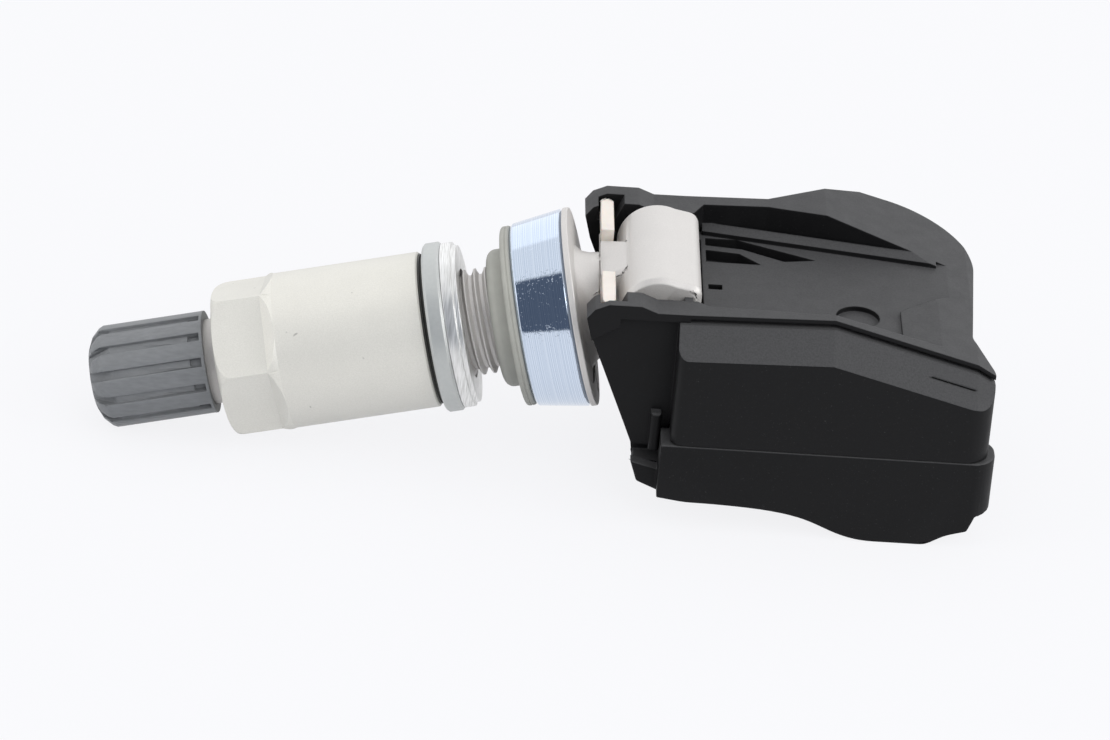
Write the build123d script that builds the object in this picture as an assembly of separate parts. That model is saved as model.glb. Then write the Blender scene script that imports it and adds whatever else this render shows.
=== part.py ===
from build123d import *
import os

# Clamp-in tyre pressure sensor: an aluminium valve stem whose cross barrel swivels between
# the two ears of a black nylon housing with the battery, the board and the pressure sensor.
# Millimetres. +X runs along the housing away from the valve, +Y across it, +Z up.
# Every piece is built about the swivel axis, and the whole is then moved so that
# the small flat land under the belly has its centre at the origin.

# Running and seating clearances
FIT_RUN = 0.05           # radial, a journal in its bore
FIT_SLIDE = 0.15         # radial, a piece that screws or slides along another
FIT_SEAT = 0.02          # between faces that are pressed together
FIT_SEAM = 0.12          # open line between lid and shell
CUT_OVER = 1.0           # how far a cut runs past the face that it opens
CUT_FAR = 30.0           # a cut or trim that has to reach past the whole housing

# Valve axis: it passes below the swivel axis and its outer end hangs down
VALVE_TILT = 13.8
AXIS_DROP = 2.0

# Valve stem, measured along the valve axis from the foot of the swivel axis
DISC_BACK = 7.4          # inner face of the stem's disc
DISC_T = 0.6
DISC_D = 18.8
THREAD_D = 10.0
THREAD_L = 24.0
TIP_D = 8.0
STEM_REACH = 51.6        # outer end of the stem
PASSAGE_D = 2.6
CORE_SEAT_D = 4.2
CORE_POCKET_D = 5.4
CORE_POCKET_L = 8.5
CORE_SEAT_L = 9.0
OUTLET_D = 1.7

# Neck and barrel of the stem
NECK_R = 4.9
NECK_FLARE = 0.9
NECK_L = 2.4
WEB_HALF_Y = 3.7
WEB_TOP = 4.8
WEB_LOW = 4.2
WEB_WAIST_Y = 1.9
WEB_EDGE_R = 0.5
BARREL_R = 3.77
BARREL_L = 14.9
BARREL_EDGE = 0.45
NOSE_FALL = 0.75         # how far the nose of the barrel falls from crown to corner
NOSE_CORNER_R = 1.2
TRUNNION_D = 3.0
TRUNNION_L = 1.9         # depth of the ear's journal in the barrel

# White cross bar that holds the valve at its angle
BAR_X = -4.85
BAR_TOP = 2.45
BAR_W = 1.25
BAR_T = 1.3
BAR_CRANK = 1.45         # how much lower the bar runs inside the web
BAR_ARM_Y = 4.0
BAR_HALF_Y = 10.1
BAR_TIP_R = 0.55

# Stack on the stem, from the disc outwards
RING_L = 5.05
RING_D_DISC = 18.7
RING_D_SEAL = 17.3
RING_EDGE = 0.25
SEAL_LIP_D = 17.0
SEAL_LIP_T = 0.95
SEAL_NOSE_D = 13.0
SEAL_NOSE_L = 1.7
SEAL_ROUND = 0.8
RIM_GAP = 2.6            # bare thread where the wheel rim goes
WASHER_D = 15.6
WASHER_T = 1.5
WASHER_STEP_T = 0.45
WASHER_STEP = 0.35
FLANGE_PROUD = 0.2       # how far the flange stands out past the washer
FLANGE_T = 1.7
FLANGE_EDGE = 0.25
FRICTION_D = 14.2
FRICTION_T = 0.5

# Collar nut
NUT_L = 19.8
NUT_D = 14.7
HEX_AF = 13.0
HEX_D = 15.0
HEX_L = 4.9
HEX_RUNOUT = 1.1
HEX_TURN = 15.0
NUT_END_ROUND = 1.4
NUT_THREAD_L = 14.0

# Valve cap and its gasket
CAP_L = 10.0
CAP_DOME = 1.15
CAP_D = 9.7
CAP_RIBS = 12
CAP_GROOVE_W = 0.85
CAP_GROOVE_T = 0.35
CAP_POCKET_L = 1.1
CAP_POCKET_T = 0.35
CAP_RIM = 0.3
CAP_NUT_GAP = 1.15       # bare stem between cap and nut
GASKET_T = 0.8
GASKET_D = 7.2
GASKET_HOLE_D = 3.4

# Valve core
CORE_BODY_L = 7.4
CORE_HEAD_L = 3.2
CORE_HEAD_D = 5.2
CORE_NECK_D = 3.7
CORE_BORE_D = 2.3
CORE_RING_T = 0.9
CORE_INSET = 1.0
PIN_D = 0.9
PIN_HEAD_D = 1.7
PIN_HEAD_L = 0.6
PIN_CUP_D = 2.9
PIN_CUP_L = 1.1
PIN_LIFT = 1.0           # travel that opens the core
PIN_SEAL_T = 0.5
SPRING_WIRE_D = 0.25
SPRING_MEAN_D = 1.6
SPRING_TURNS = 6

# Housing outline
WALL = 1.3
POD_HALF_Y = 14.0
POD_FRONT = 1.7
POD_REAR = 31.3
POD_WAIST_X = 29.3       # the rear face steps in behind the channel
POD_STEP_Y0 = 10.6
POD_STEP_Y1 = 6.4
POD_STEP_R = 2.0
POD_FAR_Y = 16.0
POD_FAR_X = 30.9
POD_CORNER_NEAR_R = 2.2
POD_CORNER_FAR_R = 8.0
POD_CORNER_FRONT_R = 1.0
SEAM_Z = -9.95
RAIL_FRONT_Z = 2.25
RAIL_RISE = 0.03         # rise of the rails for each millimetre of length
BREAK_X = 16.0           # where the rails start to fall
RAIL_FALL = 0.277        # fall for each millimetre behind that
REAR_DROP_X = 29.6
REAR_DROP = 1.6
RAIL_OUT_Y = 11.2
FAR_RAIL_Y = 11.9
FAR_WIDE_X = 10.5        # the far pod widens from here
FAR_FULL_X = 19.5        # and has its full width from here
SHOULDER_LIP = 0.45      # step from the rail down to the top of the shoulder
SHOULDER_DROP = 2.85
GROOVE_T = 0.35
GROOVE_IN = 0.6

# Ears that carry the barrel
EAR_IN_Y = 8.5
EAR_WEB_Y = 10.4
EAR_TIP_X = -6.85
EAR_TIP_Z = 1.3
EAR_CROWN = 0.6
EAR_FOOT_X = -2.6
EAR_LOW_Z = -12.2        # the ears reach down past the seam beside the lid's nose
EAR_LOW_X = -1.7
EAR_BAND_H = 2.3
EAR_BAND_X = -3.7
RIB_X = 2.55
RIB_W = 0.8
NOTCH_MARGIN = 0.2
NOTCH_LEAN = 0.42          # how far the rear wall leans back for each millimetre of height
CHEEK_X = -0.15          # upright bead on the outside of each ear
CHEEK_W = 0.95
CHEEK_TOP_Z = -8.3

# Channel between the rails
FLOOR_Z = -0.5
CHANNEL_NEAR_Y = 9.3
CHANNEL_REAR_Y = 10.1
CHANNEL_FAR_Y = 10.3
CHANNEL_FAR_END_Y = 6.6
CHANNEL_FAR_END_X = 26.5
LEDGE_W = 1.0
LEDGE_H = 0.9
LEDGE_ROOT = 0.15        # how far the ledge runs into the wall behind it
WELL_GAP = 0.5           # between the barrel and the well around it
SWING_R = 7.3            # room for the web of the neck under the swivel
POCKET_DEEP = 1.15
RIB_T = 0.9
PORT_X = 5.4
PORT_Y = -0.5
PORT_W = 1.3
PORT_H = 0.9
DIMPLE_X = 18.6
DIMPLE_Y = -4.6
DIMPLE_D = 4.1
DIMPLE_T = 0.5
PAD_T = 0.35

# Lid
REST_X = 23.4            # centre of the land under the belly
REST_HALF = 2.0
BELLY_Z = -19.1
LID_FRONT_Z = -16.1
LID_REAR_Z = -17.4
LID_NOSE_X = -2.1
LID_NOSE_SLANT = 0.7
LID_CHIN = 0.9
LID_OUT = 0.85           # the lid stands out past the shell at its front corners
LID_REAR_OUT = 0.7       # and at its rear
LID_STEP_X = 30.0
LID_STEP_Z = -15.9
LID_LIP_T = 0.6
LID_LIP_H = 1.2
WING_Y = 12.0            # apron that closes the nose below the ears
WING_X = -1.75
WING_TOP_Z = -13.1
WING_FALL = 1.1
WING_T = 1.3

# Electronics
BOARD_X0 = 3.6
BOARD_T = 0.8
BOARD_LOW_Z = -9.2
BOARD_POST_D = 1.8
POST_X = 5.4
POST_REAR_X = 26.2
POST_Y = 10.0
POST_FAR_IN = 1.3        # how far the post in the round corner is moved in
CELL_D = 20.0
CELL_H = 5.0
CELL_X = 17.0
CELL_GAP = 0.45          # between the top of the cell and the board
CELL_CAN_STEP = 0.6
CELL_LID_IN = 1.6        # from the rim of the can to its lid
TAB_W = 3.0
TAB_T = 0.2
TAB_REACH = 3.4          # how far a strip lies over the cell
CHIP_L = 5.0
CHIP_W = 5.0
CHIP_H = 1.9
CHIP_PORT_D = 1.5
CHIP_PORT_IN = 1.5       # from the front edge of the chip to its port
SEAL_RING_D = 3.2
CORE_BAR_L = 9.0
CORE_BAR_W = 2.4
COIL_L = 6.0
COIL_T = 0.5
ANTENNA_IN = 6.9         # from the rear wall to the middle of the ferrite bar
CRYSTAL_L = 3.2
CRYSTAL_W = 2.5
CRYSTAL_H = 0.8
CHIPCAP_L = 1.6
CHIPCAP_W = 0.8
CHIPCAP_N = 6
CHIPCAP_STEP = 2.2
CHIPCAP_Y = 6.0

# Places that follow from the sizes above, along the valve axis
disc_x = -DISC_BACK
ring_x = disc_x - DISC_T
lip_x = ring_x - RING_L
nose_x = lip_x - SEAL_LIP_T
washer_x = nose_x - SEAL_NOSE_L - RIM_GAP
flange_x = washer_x - WASHER_T
friction_x = flange_x - FLANGE_T
nut_x = friction_x - FRICTION_T
nut_end_x = nut_x - NUT_L
cap_x = nut_end_x - CAP_NUT_GAP
cap_end_x = cap_x - CAP_L
core_x = -STEM_REACH + CORE_INSET
core_foot_x = core_x + CORE_BODY_L

# Heights and bores that follow
break_z = RAIL_FRONT_Z + RAIL_RISE * (BREAK_X - POD_FRONT)
drop_z = break_z - RAIL_FALL * (REAR_DROP_X - BREAK_X)
ceiling_z = FLOOR_Z - WALL
well_r = BARREL_R + WELL_GAP
journal_r = TRUNNION_D / 2
board_top_z = BOARD_LOW_Z + BOARD_T
antenna_x = POD_REAR - ANTENNA_IN
cell_top_z = BOARD_LOW_Z - CELL_GAP
cell_low_z = cell_top_z - CELL_H
sensor_top_z = board_top_z + CHIP_H
lip_inset = WALL + FIT_SLIDE + LID_LIP_T

valve_place = Rotation(0, -VALVE_TILT, 0) * Location((0, 0, -AXIS_DROP))
row_place = Location((-REST_X, 0, -BELLY_Z))


def prism_y(points, y_from, y_to):
    """A side outline of X and Z points, as deep as the two Y places say."""
    outline = Plane.XZ * make_face(Polyline(*points, close=True))
    return extrude(outline, amount=y_to - y_from, dir=(0, 1, 0)).moved(Location((0, y_from, 0)))


def prism_z(points, z_from, z_to):
    """A plan outline of X and Y points, as high as the two Z places say."""
    outline = make_face(Polyline(*points, close=True))
    return extrude(outline, amount=z_to - z_from).moved(Location((0, 0, z_from)))


def block(x0, x1, y0, y1, z0, z1):
    """A plain block between six places."""
    return Box(x1 - x0, y1 - y0, z1 - z0).moved(
        Location(((x0 + x1) / 2, (y0 + y1) / 2, (z0 + z1) / 2)))


def rod_x(x0, x1, radius):
    """A round bar along the valve axis."""
    return Cylinder(radius, x1 - x0, rotation=(0, 90, 0)).moved(Location(((x0 + x1) / 2, 0, 0)))


def rod_y(y0, y1, radius, x=0.0, z=0.0):
    """A round bar across the housing."""
    return Cylinder(radius, y1 - y0, rotation=(90, 0, 0)).moved(Location((x, (y0 + y1) / 2, z)))


def turned(points):
    """A turned piece: its half outline of place and radius points spun about the valve axis."""
    outline = Plane.XZ * make_face(Polyline(*points, close=True))
    return revolve(outline, Axis.X)


def mirrored_pair(piece):
    """A piece and its mirror image on the other side of the housing."""
    return [piece, piece.mirror(Plane.XZ)]


def rail_line(drop, x_front):
    """Top edge of the rails in side view, from x_front to the rear, lowered by drop."""
    front_z = RAIL_FRONT_Z + RAIL_RISE * (x_front - POD_FRONT)
    return [(x_front, front_z - drop), (BREAK_X, break_z - drop),
            (REAR_DROP_X, drop_z - drop), (POD_REAR + CUT_OVER, drop_z - drop - REAR_DROP)]


# Valve stem

def barrel_section():
    """Round barrel whose rear upper corner is squared into a nose."""
    nose = make_face(Polyline((0, 0), (0, BARREL_R), (BARREL_R, BARREL_R - NOSE_FALL),
                              (BARREL_R, 0), close=True))
    corner = nose.vertices().sort_by(Axis.X)[-2:].sort_by(Axis.Y)[-1]
    return Plane.XZ * (Circle(BARREL_R) + fillet(corner, NOSE_CORNER_R))


def barrel():
    """Cross barrel about the swivel axis, with a blind bore in each end for the ears."""
    body = extrude(barrel_section(), amount=BARREL_L / 2, both=True)
    ends = body.faces().sort_by(Axis.Y)
    body = chamfer([*ends[0].edges(), *ends[-1].edges()], BARREL_EDGE)
    bore = journal_r + FIT_RUN
    half = BARREL_L / 2
    deep = TRUNNION_L + FIT_SLIDE
    return body - rod_y(half - deep, half, bore) - rod_y(-half, -half + deep, bore)


def neck_web():
    """Web that narrows from the round neck to the barrel, in the valve's own place."""
    front = Plane(origin=(disc_x + NECK_L, 0, 0), x_dir=(0, 1, 0), z_dir=(1, 0, 0))
    back = Plane(origin=(0, 0, 0), x_dir=(0, 1, 0), z_dir=(1, 0, 0))
    middle = (WEB_TOP - WEB_LOW) / 2
    height = WEB_TOP + WEB_LOW
    wide = RectangleRounded(2 * WEB_HALF_Y, height, WEB_EDGE_R).moved(Location((0, middle)))
    slim_low = AXIS_DROP - BARREL_R / 2
    slim = RectangleRounded(2 * WEB_WAIST_Y, WEB_TOP - slim_low, WEB_EDGE_R)
    slim = slim.moved(Location((0, (WEB_TOP + slim_low) / 2)))
    return loft([front * wide, back * slim])


def valve_stem():
    """One machined piece: threaded tip, main thread, disc, flared neck, web and barrel."""
    tip_r = TIP_D / 2
    thread_r = THREAD_D / 2
    thread_x = ring_x - THREAD_L
    outline = [(-STEM_REACH, 0), (-STEM_REACH, tip_r - 0.5), (-STEM_REACH + 0.5, tip_r),
               (thread_x - 1, tip_r), (thread_x, thread_r), (ring_x, thread_r),
               (ring_x, DISC_D / 2), (disc_x, DISC_D / 2), (disc_x, NECK_R + NECK_FLARE),
               (disc_x + 0.25 * NECK_L, NECK_R + 0.3 * NECK_FLARE),
               (disc_x + 0.55 * NECK_L, NECK_R), (disc_x + NECK_L, NECK_R - 0.1),
               (disc_x + NECK_L, 0)]
    stem = turned(outline) + neck_web()
    pocket_end = -STEM_REACH + CORE_POCKET_L
    seat_end = pocket_end + CORE_SEAT_L
    outlet_x = disc_x + OUTLET_D / 2
    passage_end = outlet_x + PASSAGE_D / 2
    stem -= rod_x(-STEM_REACH - 1, pocket_end, CORE_POCKET_D / 2)
    stem -= rod_x(pocket_end - 1, seat_end, CORE_SEAT_D / 2)
    stem -= rod_x(seat_end - 1, passage_end, PASSAGE_D / 2)
    outlet = Cylinder(OUTLET_D / 2, NECK_R + NECK_FLARE).moved(
        Location((outlet_x, 0, -(NECK_R + NECK_FLARE) / 2)))
    stem = valve_place * (stem - outlet)
    stem += barrel()
    return stem - bar_box(FIT_SEAT, BAR_HALF_Y, BAR_CRANK)


def bar_box(margin, half_y, drop):
    """Room of the white cross bar, larger by a margin all round and lowered by a drop."""
    return block(BAR_X - BAR_W / 2 - margin, BAR_X + BAR_W / 2 + margin, -half_y, half_y,
                 BAR_TOP - BAR_T - margin - drop, BAR_TOP + margin - drop)


def lock_bar():
    """White plastic bar: two arms with round tips, cranked down where it crosses the web."""
    arms = bar_box(0, BAR_HALF_Y, 0)
    arms = fillet(arms.edges().filter_by(Axis.Z), BAR_TIP_R)
    arms -= bar_box(1, BAR_ARM_Y, 0)
    low = bar_box(0, BAR_ARM_Y + BAR_T, BAR_CRANK)
    risers = bar_box(0, BAR_ARM_Y + BAR_T, BAR_CRANK / 2) - bar_box(1, BAR_ARM_Y, BAR_CRANK / 2)
    return arms + low + risers


# Stack on the stem

def support_ring():
    """Polished ring that backs the seal, slightly wider towards the disc."""
    bore = THREAD_D / 2 + FIT_RUN
    outer = ring_x - FIT_SEAT
    inner = ring_x - RING_L + FIT_SEAT
    return turned([(inner, bore), (inner, RING_D_SEAL / 2 - RING_EDGE),
                   (inner + RING_EDGE, RING_D_SEAL / 2), (outer - RING_EDGE, RING_D_DISC / 2),
                   (outer, RING_D_DISC / 2 - RING_EDGE), (outer, bore)])


def rubber_seal():
    """Rubber grommet: a lip against the ring and a round nose that centres it in the rim."""
    bore = THREAD_D / 2 + FIT_RUN
    back = lip_x
    body = turned([(back, bore), (back, SEAL_LIP_D / 2), (nose_x, SEAL_LIP_D / 2),
                   (nose_x, SEAL_NOSE_D / 2), (nose_x - SEAL_NOSE_L, SEAL_NOSE_D / 2),
                   (nose_x - SEAL_NOSE_L, bore)])
    circles = body.edges().filter_by(GeomType.CIRCLE)
    nose = circles.sort_by(Axis.X)[:2].sort_by(lambda e: e.radius)[-1]
    body = fillet(nose, SEAL_ROUND)
    lip = [e for e in body.edges().filter_by(GeomType.CIRCLE) if abs(e.radius - SEAL_LIP_D / 2) < 0.01]
    return fillet(lip, SEAL_LIP_T / 3)


def clamp_washer():
    """Polished washer with a narrower step on its rim side."""
    bore = THREAD_D / 2 + FIT_SLIDE
    edge = WASHER_D / 2
    return turned([(washer_x, bore), (washer_x, edge - WASHER_STEP),
                   (washer_x - WASHER_STEP_T, edge - WASHER_STEP), (washer_x - WASHER_STEP_T, edge),
                   (flange_x + FIT_SEAT, edge), (flange_x + FIT_SEAT, bore)])


def flange_ring():
    """Grey captive flange between nut and washer, broken at both outer edges."""
    bore = THREAD_D / 2 + FIT_SLIDE
    edge = WASHER_D / 2 + FLANGE_PROUD
    back = friction_x + FIT_SEAT
    return turned([(flange_x, bore), (flange_x, edge - FLANGE_EDGE), (flange_x - FLANGE_EDGE, edge),
                   (back + FLANGE_EDGE, edge), (back, edge - FLANGE_EDGE), (back, bore)])


def friction_ring():
    """Thin dark ring that lets the nut turn on the flange."""
    bore = THREAD_D / 2 + FIT_SLIDE
    return turned([(friction_x, bore), (friction_x, FRICTION_D / 2),
                   (nut_x + FIT_SEAT, FRICTION_D / 2), (nut_x + FIT_SEAT, bore)])


def collar_nut():
    """Long nut: round collar, six milled flats that run out in sloped shoulders, round end."""
    hex_x = nut_end_x + HEX_L
    body = turned([(nut_end_x, 0), (nut_end_x, HEX_D / 2 - NUT_END_ROUND),
                   (nut_end_x + 0.3 * NUT_END_ROUND, HEX_D / 2 - 0.3 * NUT_END_ROUND),
                   (nut_end_x + NUT_END_ROUND, HEX_D / 2), (hex_x + HEX_RUNOUT / 2, HEX_D / 2),
                   (hex_x + HEX_RUNOUT, NUT_D / 2), (nut_x, NUT_D / 2), (nut_x, 0)])
    flat = prism_y([(nut_end_x - 1, HEX_AF / 2), (hex_x, HEX_AF / 2),
                    (hex_x + 2 * HEX_RUNOUT, HEX_AF / 2 + 2 * (NUT_D - HEX_AF) / 2),
                    (hex_x + 2 * HEX_RUNOUT, HEX_D), (nut_end_x - 1, HEX_D)], -HEX_D, HEX_D)
    for i in range(6):
        body -= flat.rotate(Axis.X, HEX_TURN + 60 * i)
    body -= rod_x(nut_end_x - 1, nut_x + 1, TIP_D / 2 + FIT_SLIDE)
    return body - rod_x(nut_x - NUT_THREAD_L, nut_x + 1, THREAD_D / 2 + FIT_SLIDE)


# Valve cap

def valve_cap():
    """Moulded cap with broad ribs; each groove ends in a facet outside and a pocket inside."""
    cap_r = CAP_D / 2
    body = turned([(cap_end_x - CAP_DOME, 0), (cap_end_x - CAP_DOME, 0.62 * cap_r),
                   (cap_end_x - 0.6 * CAP_DOME, 0.82 * cap_r), (cap_end_x, 0.96 * cap_r),
                   (cap_end_x + 0.4, cap_r), (cap_x, cap_r), (cap_x, 0)])
    groove = block(cap_end_x - CAP_DOME - 1, cap_x - CAP_RIM, -CAP_GROOVE_W / 2, CAP_GROOVE_W / 2,
                   cap_r - CAP_GROOVE_T, cap_r + 1)
    facet = prism_y([(cap_end_x - CAP_DOME - 1, 0.5 * cap_r), (cap_end_x - CAP_DOME, 0.62 * cap_r),
                     (cap_end_x + CAP_DOME, cap_r - CAP_GROOVE_T), (cap_end_x + CAP_DOME, cap_r + 1),
                     (cap_end_x - CAP_DOME - 1, cap_r + 1)], -CAP_GROOVE_W / 2, CAP_GROOVE_W / 2)
    pocket = block(cap_x - CAP_RIM - CAP_POCKET_L, cap_x - CAP_RIM, -0.4 * CAP_GROOVE_W,
                   0.4 * CAP_GROOVE_W, cap_r - CAP_GROOVE_T - CAP_POCKET_T, cap_r + 1)
    cutter = groove + facet + pocket
    for i in range(CAP_RIBS):
        body -= cutter.rotate(Axis.X, 360 / CAP_RIBS * i)
    roof_x = -STEM_REACH - GASKET_T - 2 * FIT_SEAT
    body -= rod_x(roof_x, cap_x + 1, TIP_D / 2 + FIT_RUN)
    return body


def cap_gasket():
    """Soft disc in the roof of the cap, against the end of the stem."""
    outer = -STEM_REACH - FIT_SEAT
    return rod_x(outer - GASKET_T, outer, GASKET_D / 2) - rod_x(
        outer - GASKET_T - 1, outer + 1, GASKET_HOLE_D / 2)


# Valve core

def core_barrel():
    """Brass plug with a threaded head and a slim neck, bored for the pin."""
    head_end = core_x + CORE_HEAD_L
    body = rod_x(core_x, head_end, CORE_HEAD_D / 2) + rod_x(head_end, core_foot_x, CORE_NECK_D / 2)
    bore = rod_x(core_x + PIN_HEAD_L + PIN_LIFT, core_foot_x - CORE_BORE_D / 2, CORE_BORE_D / 2)
    guide = rod_x(core_x - 1, core_foot_x + 1, PIN_D / 2 + FIT_SLIDE)
    mouth = rod_x(core_x - 1, core_x + PIN_HEAD_L + PIN_LIFT, PIN_HEAD_D / 2 + FIT_SLIDE)
    slots = block(core_x - 1, core_x + PIN_LIFT, -CORE_HEAD_D, CORE_HEAD_D, -PIN_D / 2, PIN_D / 2)
    return body - bore - guide - mouth - slots


def core_gasket():
    """Ring that seals the core's neck against its seat in the stem."""
    shoulder = -STEM_REACH + CORE_POCKET_L
    ring = rod_x(shoulder - CORE_RING_T, shoulder - FIT_SEAT, CORE_POCKET_D / 2 - FIT_RUN)
    return ring - rod_x(shoulder - 2 * CORE_RING_T, shoulder, CORE_NECK_D / 2 + FIT_SEAT)


def core_pin():
    """Pin of the core: a head at the mouth, a thin shank and the cup that carries the seal."""
    head = rod_x(core_x, core_x + PIN_HEAD_L, PIN_HEAD_D / 2)
    cup_x = core_foot_x + PIN_SEAL_T + 2 * FIT_SEAT
    shank = rod_x(core_x, cup_x + PIN_CUP_L, PIN_D / 2)
    cup = rod_x(cup_x, cup_x + PIN_CUP_L, PIN_CUP_D / 2)
    collar_x = core_x + PIN_HEAD_L + PIN_LIFT + SPRING_WIRE_D
    collar = rod_x(collar_x, collar_x + SPRING_WIRE_D, PIN_HEAD_D / 2)
    return head + shank + cup + collar


def core_seal():
    """Rubber ring in the pin's cup, closed against the foot of the core."""
    start = core_foot_x + FIT_SEAT
    return rod_x(start, start + PIN_SEAL_T, PIN_CUP_D / 2) - rod_x(
        start - 1, start + PIN_SEAL_T + 1, PIN_D / 2 + FIT_SEAT)


def core_spring():
    """Coil spring in the core's bore, between the pin's collar and the foot."""
    start = core_x + PIN_HEAD_L + PIN_LIFT + 2 * SPRING_WIRE_D + SPRING_WIRE_D / 2 + FIT_SEAT
    end = core_foot_x - CORE_BORE_D / 2 - SPRING_WIRE_D / 2 - FIT_SEAT
    height = end - start
    path = Helix(height / SPRING_TURNS, height, SPRING_MEAN_D / 2, center=(0, 0, 0))
    wire = Plane(origin=path @ 0, z_dir=path % 0) * Circle(SPRING_WIRE_D / 2)
    coil = sweep(wire, path=path, is_frenet=True)
    return coil.rotate(Axis.Y, 90).moved(Location((start, 0, 0)))


# Housing

def rounded_outline(corners):
    """Closed plan outline from X, Y, radius corners."""
    outline = make_face(Polyline(*[(x, y) for x, y, _ in corners], close=True))
    for x, y, radius in corners:
        if radius > 0:
            corner = outline.vertices().sort_by_distance((x, y, 0))[0]
            outline = fillet(corner, radius)
    return outline


def pod_plan(inset, rear_out=0.0):
    """Plan outline of the housing, moved in by an inset and out at its near rear corner."""
    rear = POD_REAR + rear_out
    outline = rounded_outline([
        (POD_FRONT, -POD_HALF_Y, POD_CORNER_FRONT_R), (rear, -POD_HALF_Y, POD_CORNER_NEAR_R),
        (rear, -POD_STEP_Y0, POD_STEP_R), (POD_WAIST_X, -POD_STEP_Y1, POD_STEP_R),
        (POD_FAR_X, POD_FAR_Y, POD_CORNER_FAR_R), (POD_FRONT, POD_FAR_Y, POD_CORNER_FRONT_R)])
    return offset(outline, amount=-inset) if inset > 0 else outline


def above_rails():
    """Everything over the top surface of the rails, for cutting."""
    front = EAR_TIP_X - 5 * CUT_OVER
    top = [(POD_REAR + CUT_OVER, CUT_FAR), (front, CUT_FAR)]
    return prism_y(rail_line(0, front) + top, -POD_HALF_Y - CUT_OVER, POD_FAR_Y + CUT_OVER)


def shoulder_cut(rail_y):
    """The sloped shoulder outside a near rail, in lengths that follow the rail."""
    cuts = []
    line = rail_line(SHOULDER_LIP, POD_FRONT - CUT_OVER)
    out_y = POD_FAR_Y + CUT_OVER
    fall = SHOULDER_DROP * (out_y - rail_y) / (POD_HALF_Y - RAIL_OUT_Y)
    for (xa, za), (xb, zb) in zip(line[:-1], line[1:]):
        ends = []
        for x, z in ((xa, za), (xb, zb)):
            section = Polyline((-rail_y, z), (-out_y, z - fall), (-out_y, z + 9),
                               (-rail_y, z + 9), close=True)
            ends.append(Plane(origin=(x, 0, 0), x_dir=(0, 1, 0), z_dir=(1, 0, 0))
                        * make_face(section))
        cuts.append(loft(ends))
    return cuts


def rail_groove():
    """Narrow shadow groove under the outer edge of the near rail."""
    upper = rail_line(SHOULDER_LIP, POD_FRONT - CUT_OVER)
    lower = rail_line(SHOULDER_LIP + GROOVE_T, POD_FRONT - CUT_OVER)
    return prism_y(upper + lower[::-1], -RAIL_OUT_Y - 0.4, -RAIL_OUT_Y + GROOVE_IN)


def ear_side():
    """Side outline of an ear, from its tip over the crown and down the slanted edge."""
    back_z = RAIL_FRONT_Z + RAIL_RISE
    return [(EAR_TIP_X, EAR_TIP_Z), (EAR_TIP_X + 0.7, RAIL_FRONT_Z),
            (BAR_X, RAIL_FRONT_Z + EAR_CROWN), (BAR_X + 3, RAIL_FRONT_Z + EAR_CROWN),
            (BAR_X + 4.5, RAIL_FRONT_Z), (POD_FRONT + CUT_OVER, back_z), (POD_FRONT + CUT_OVER, SEAM_Z),
            (EAR_FOOT_X, SEAM_Z), (EAR_TIP_X + 0.6, EAR_TIP_Z - EAR_BAND_H)]


def ear_foot():
    """Side outline of the part of an ear that hangs down beside the lid's nose."""
    front = POD_FRONT - FIT_SLIDE
    return [(EAR_FOOT_X, SEAM_Z), (front, SEAM_Z), (front, EAR_LOW_Z), (EAR_LOW_X, EAR_LOW_Z)]


def ear(out_y):
    """Near ear: a web, a thicker band along its top, the journal, a crush rib and a bead."""
    web = prism_y(ear_side(), -EAR_WEB_Y, -EAR_IN_Y) + prism_y(ear_foot(), -EAR_WEB_Y, -EAR_IN_Y)
    band = prism_y(ear_side()[:6] + [(POD_FRONT + CUT_OVER, RAIL_FRONT_Z - SHOULDER_LIP - GROOVE_T),
                                     (EAR_BAND_X, RAIL_FRONT_Z - SHOULDER_LIP - GROOVE_T),
                                     (EAR_BAND_X, EAR_TIP_Z - 0.3 * EAR_BAND_H),
                                     (EAR_TIP_X + 0.6, EAR_TIP_Z - EAR_BAND_H)],
                   -out_y, -EAR_IN_Y)
    journal = rod_y(-EAR_IN_Y - FIT_RUN, -BARREL_L / 2 + TRUNNION_L, journal_r)
    rib = block(RIB_X - RIB_W / 2, RIB_X + RIB_W / 2, -EAR_IN_Y, -BARREL_L / 2 - 2 * FIT_RUN,
                -BARREL_R, RAIL_FRONT_Z - 0.1)
    bead = block(CHEEK_X, CHEEK_X + CHEEK_W, -EAR_WEB_Y - CHEEK_W, -EAR_WEB_Y, EAR_LOW_Z, CHEEK_TOP_Z)
    outer = bead.edges().filter_by(Axis.Z).group_by(Axis.Y)[0]
    bead = fillet([*outer, *bead.edges().group_by(Axis.Z)[-1].filter_by(Axis.X).group_by(Axis.Y)[0]],
                  CHEEK_W / 3)
    return web + band + journal + rib + bead


def channel():
    """Open channel between the rails down to its floor."""
    near = [(EAR_TIP_X - 2, -EAR_IN_Y), (RIB_X + RIB_W, -EAR_IN_Y), (RIB_X + RIB_W + 1, -CHANNEL_NEAR_Y),
            (BREAK_X, -CHANNEL_REAR_Y), (POD_REAR + CUT_OVER, -CHANNEL_REAR_Y + 0.6)]
    far = [(POD_REAR + CUT_OVER, CHANNEL_FAR_END_Y - 1.2), (CHANNEL_FAR_END_X, CHANNEL_FAR_END_Y),
           (FAR_WIDE_X + 1.6, CHANNEL_FAR_Y - 0.4), (FAR_WIDE_X, CHANNEL_FAR_Y),
           (RIB_X + RIB_W + 1, CHANNEL_FAR_Y), (RIB_X + RIB_W, EAR_IN_Y), (EAR_TIP_X - 2, EAR_IN_Y)]
    return prism_z(near + far, FLOOR_Z, RAIL_FRONT_Z + 9)


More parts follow.
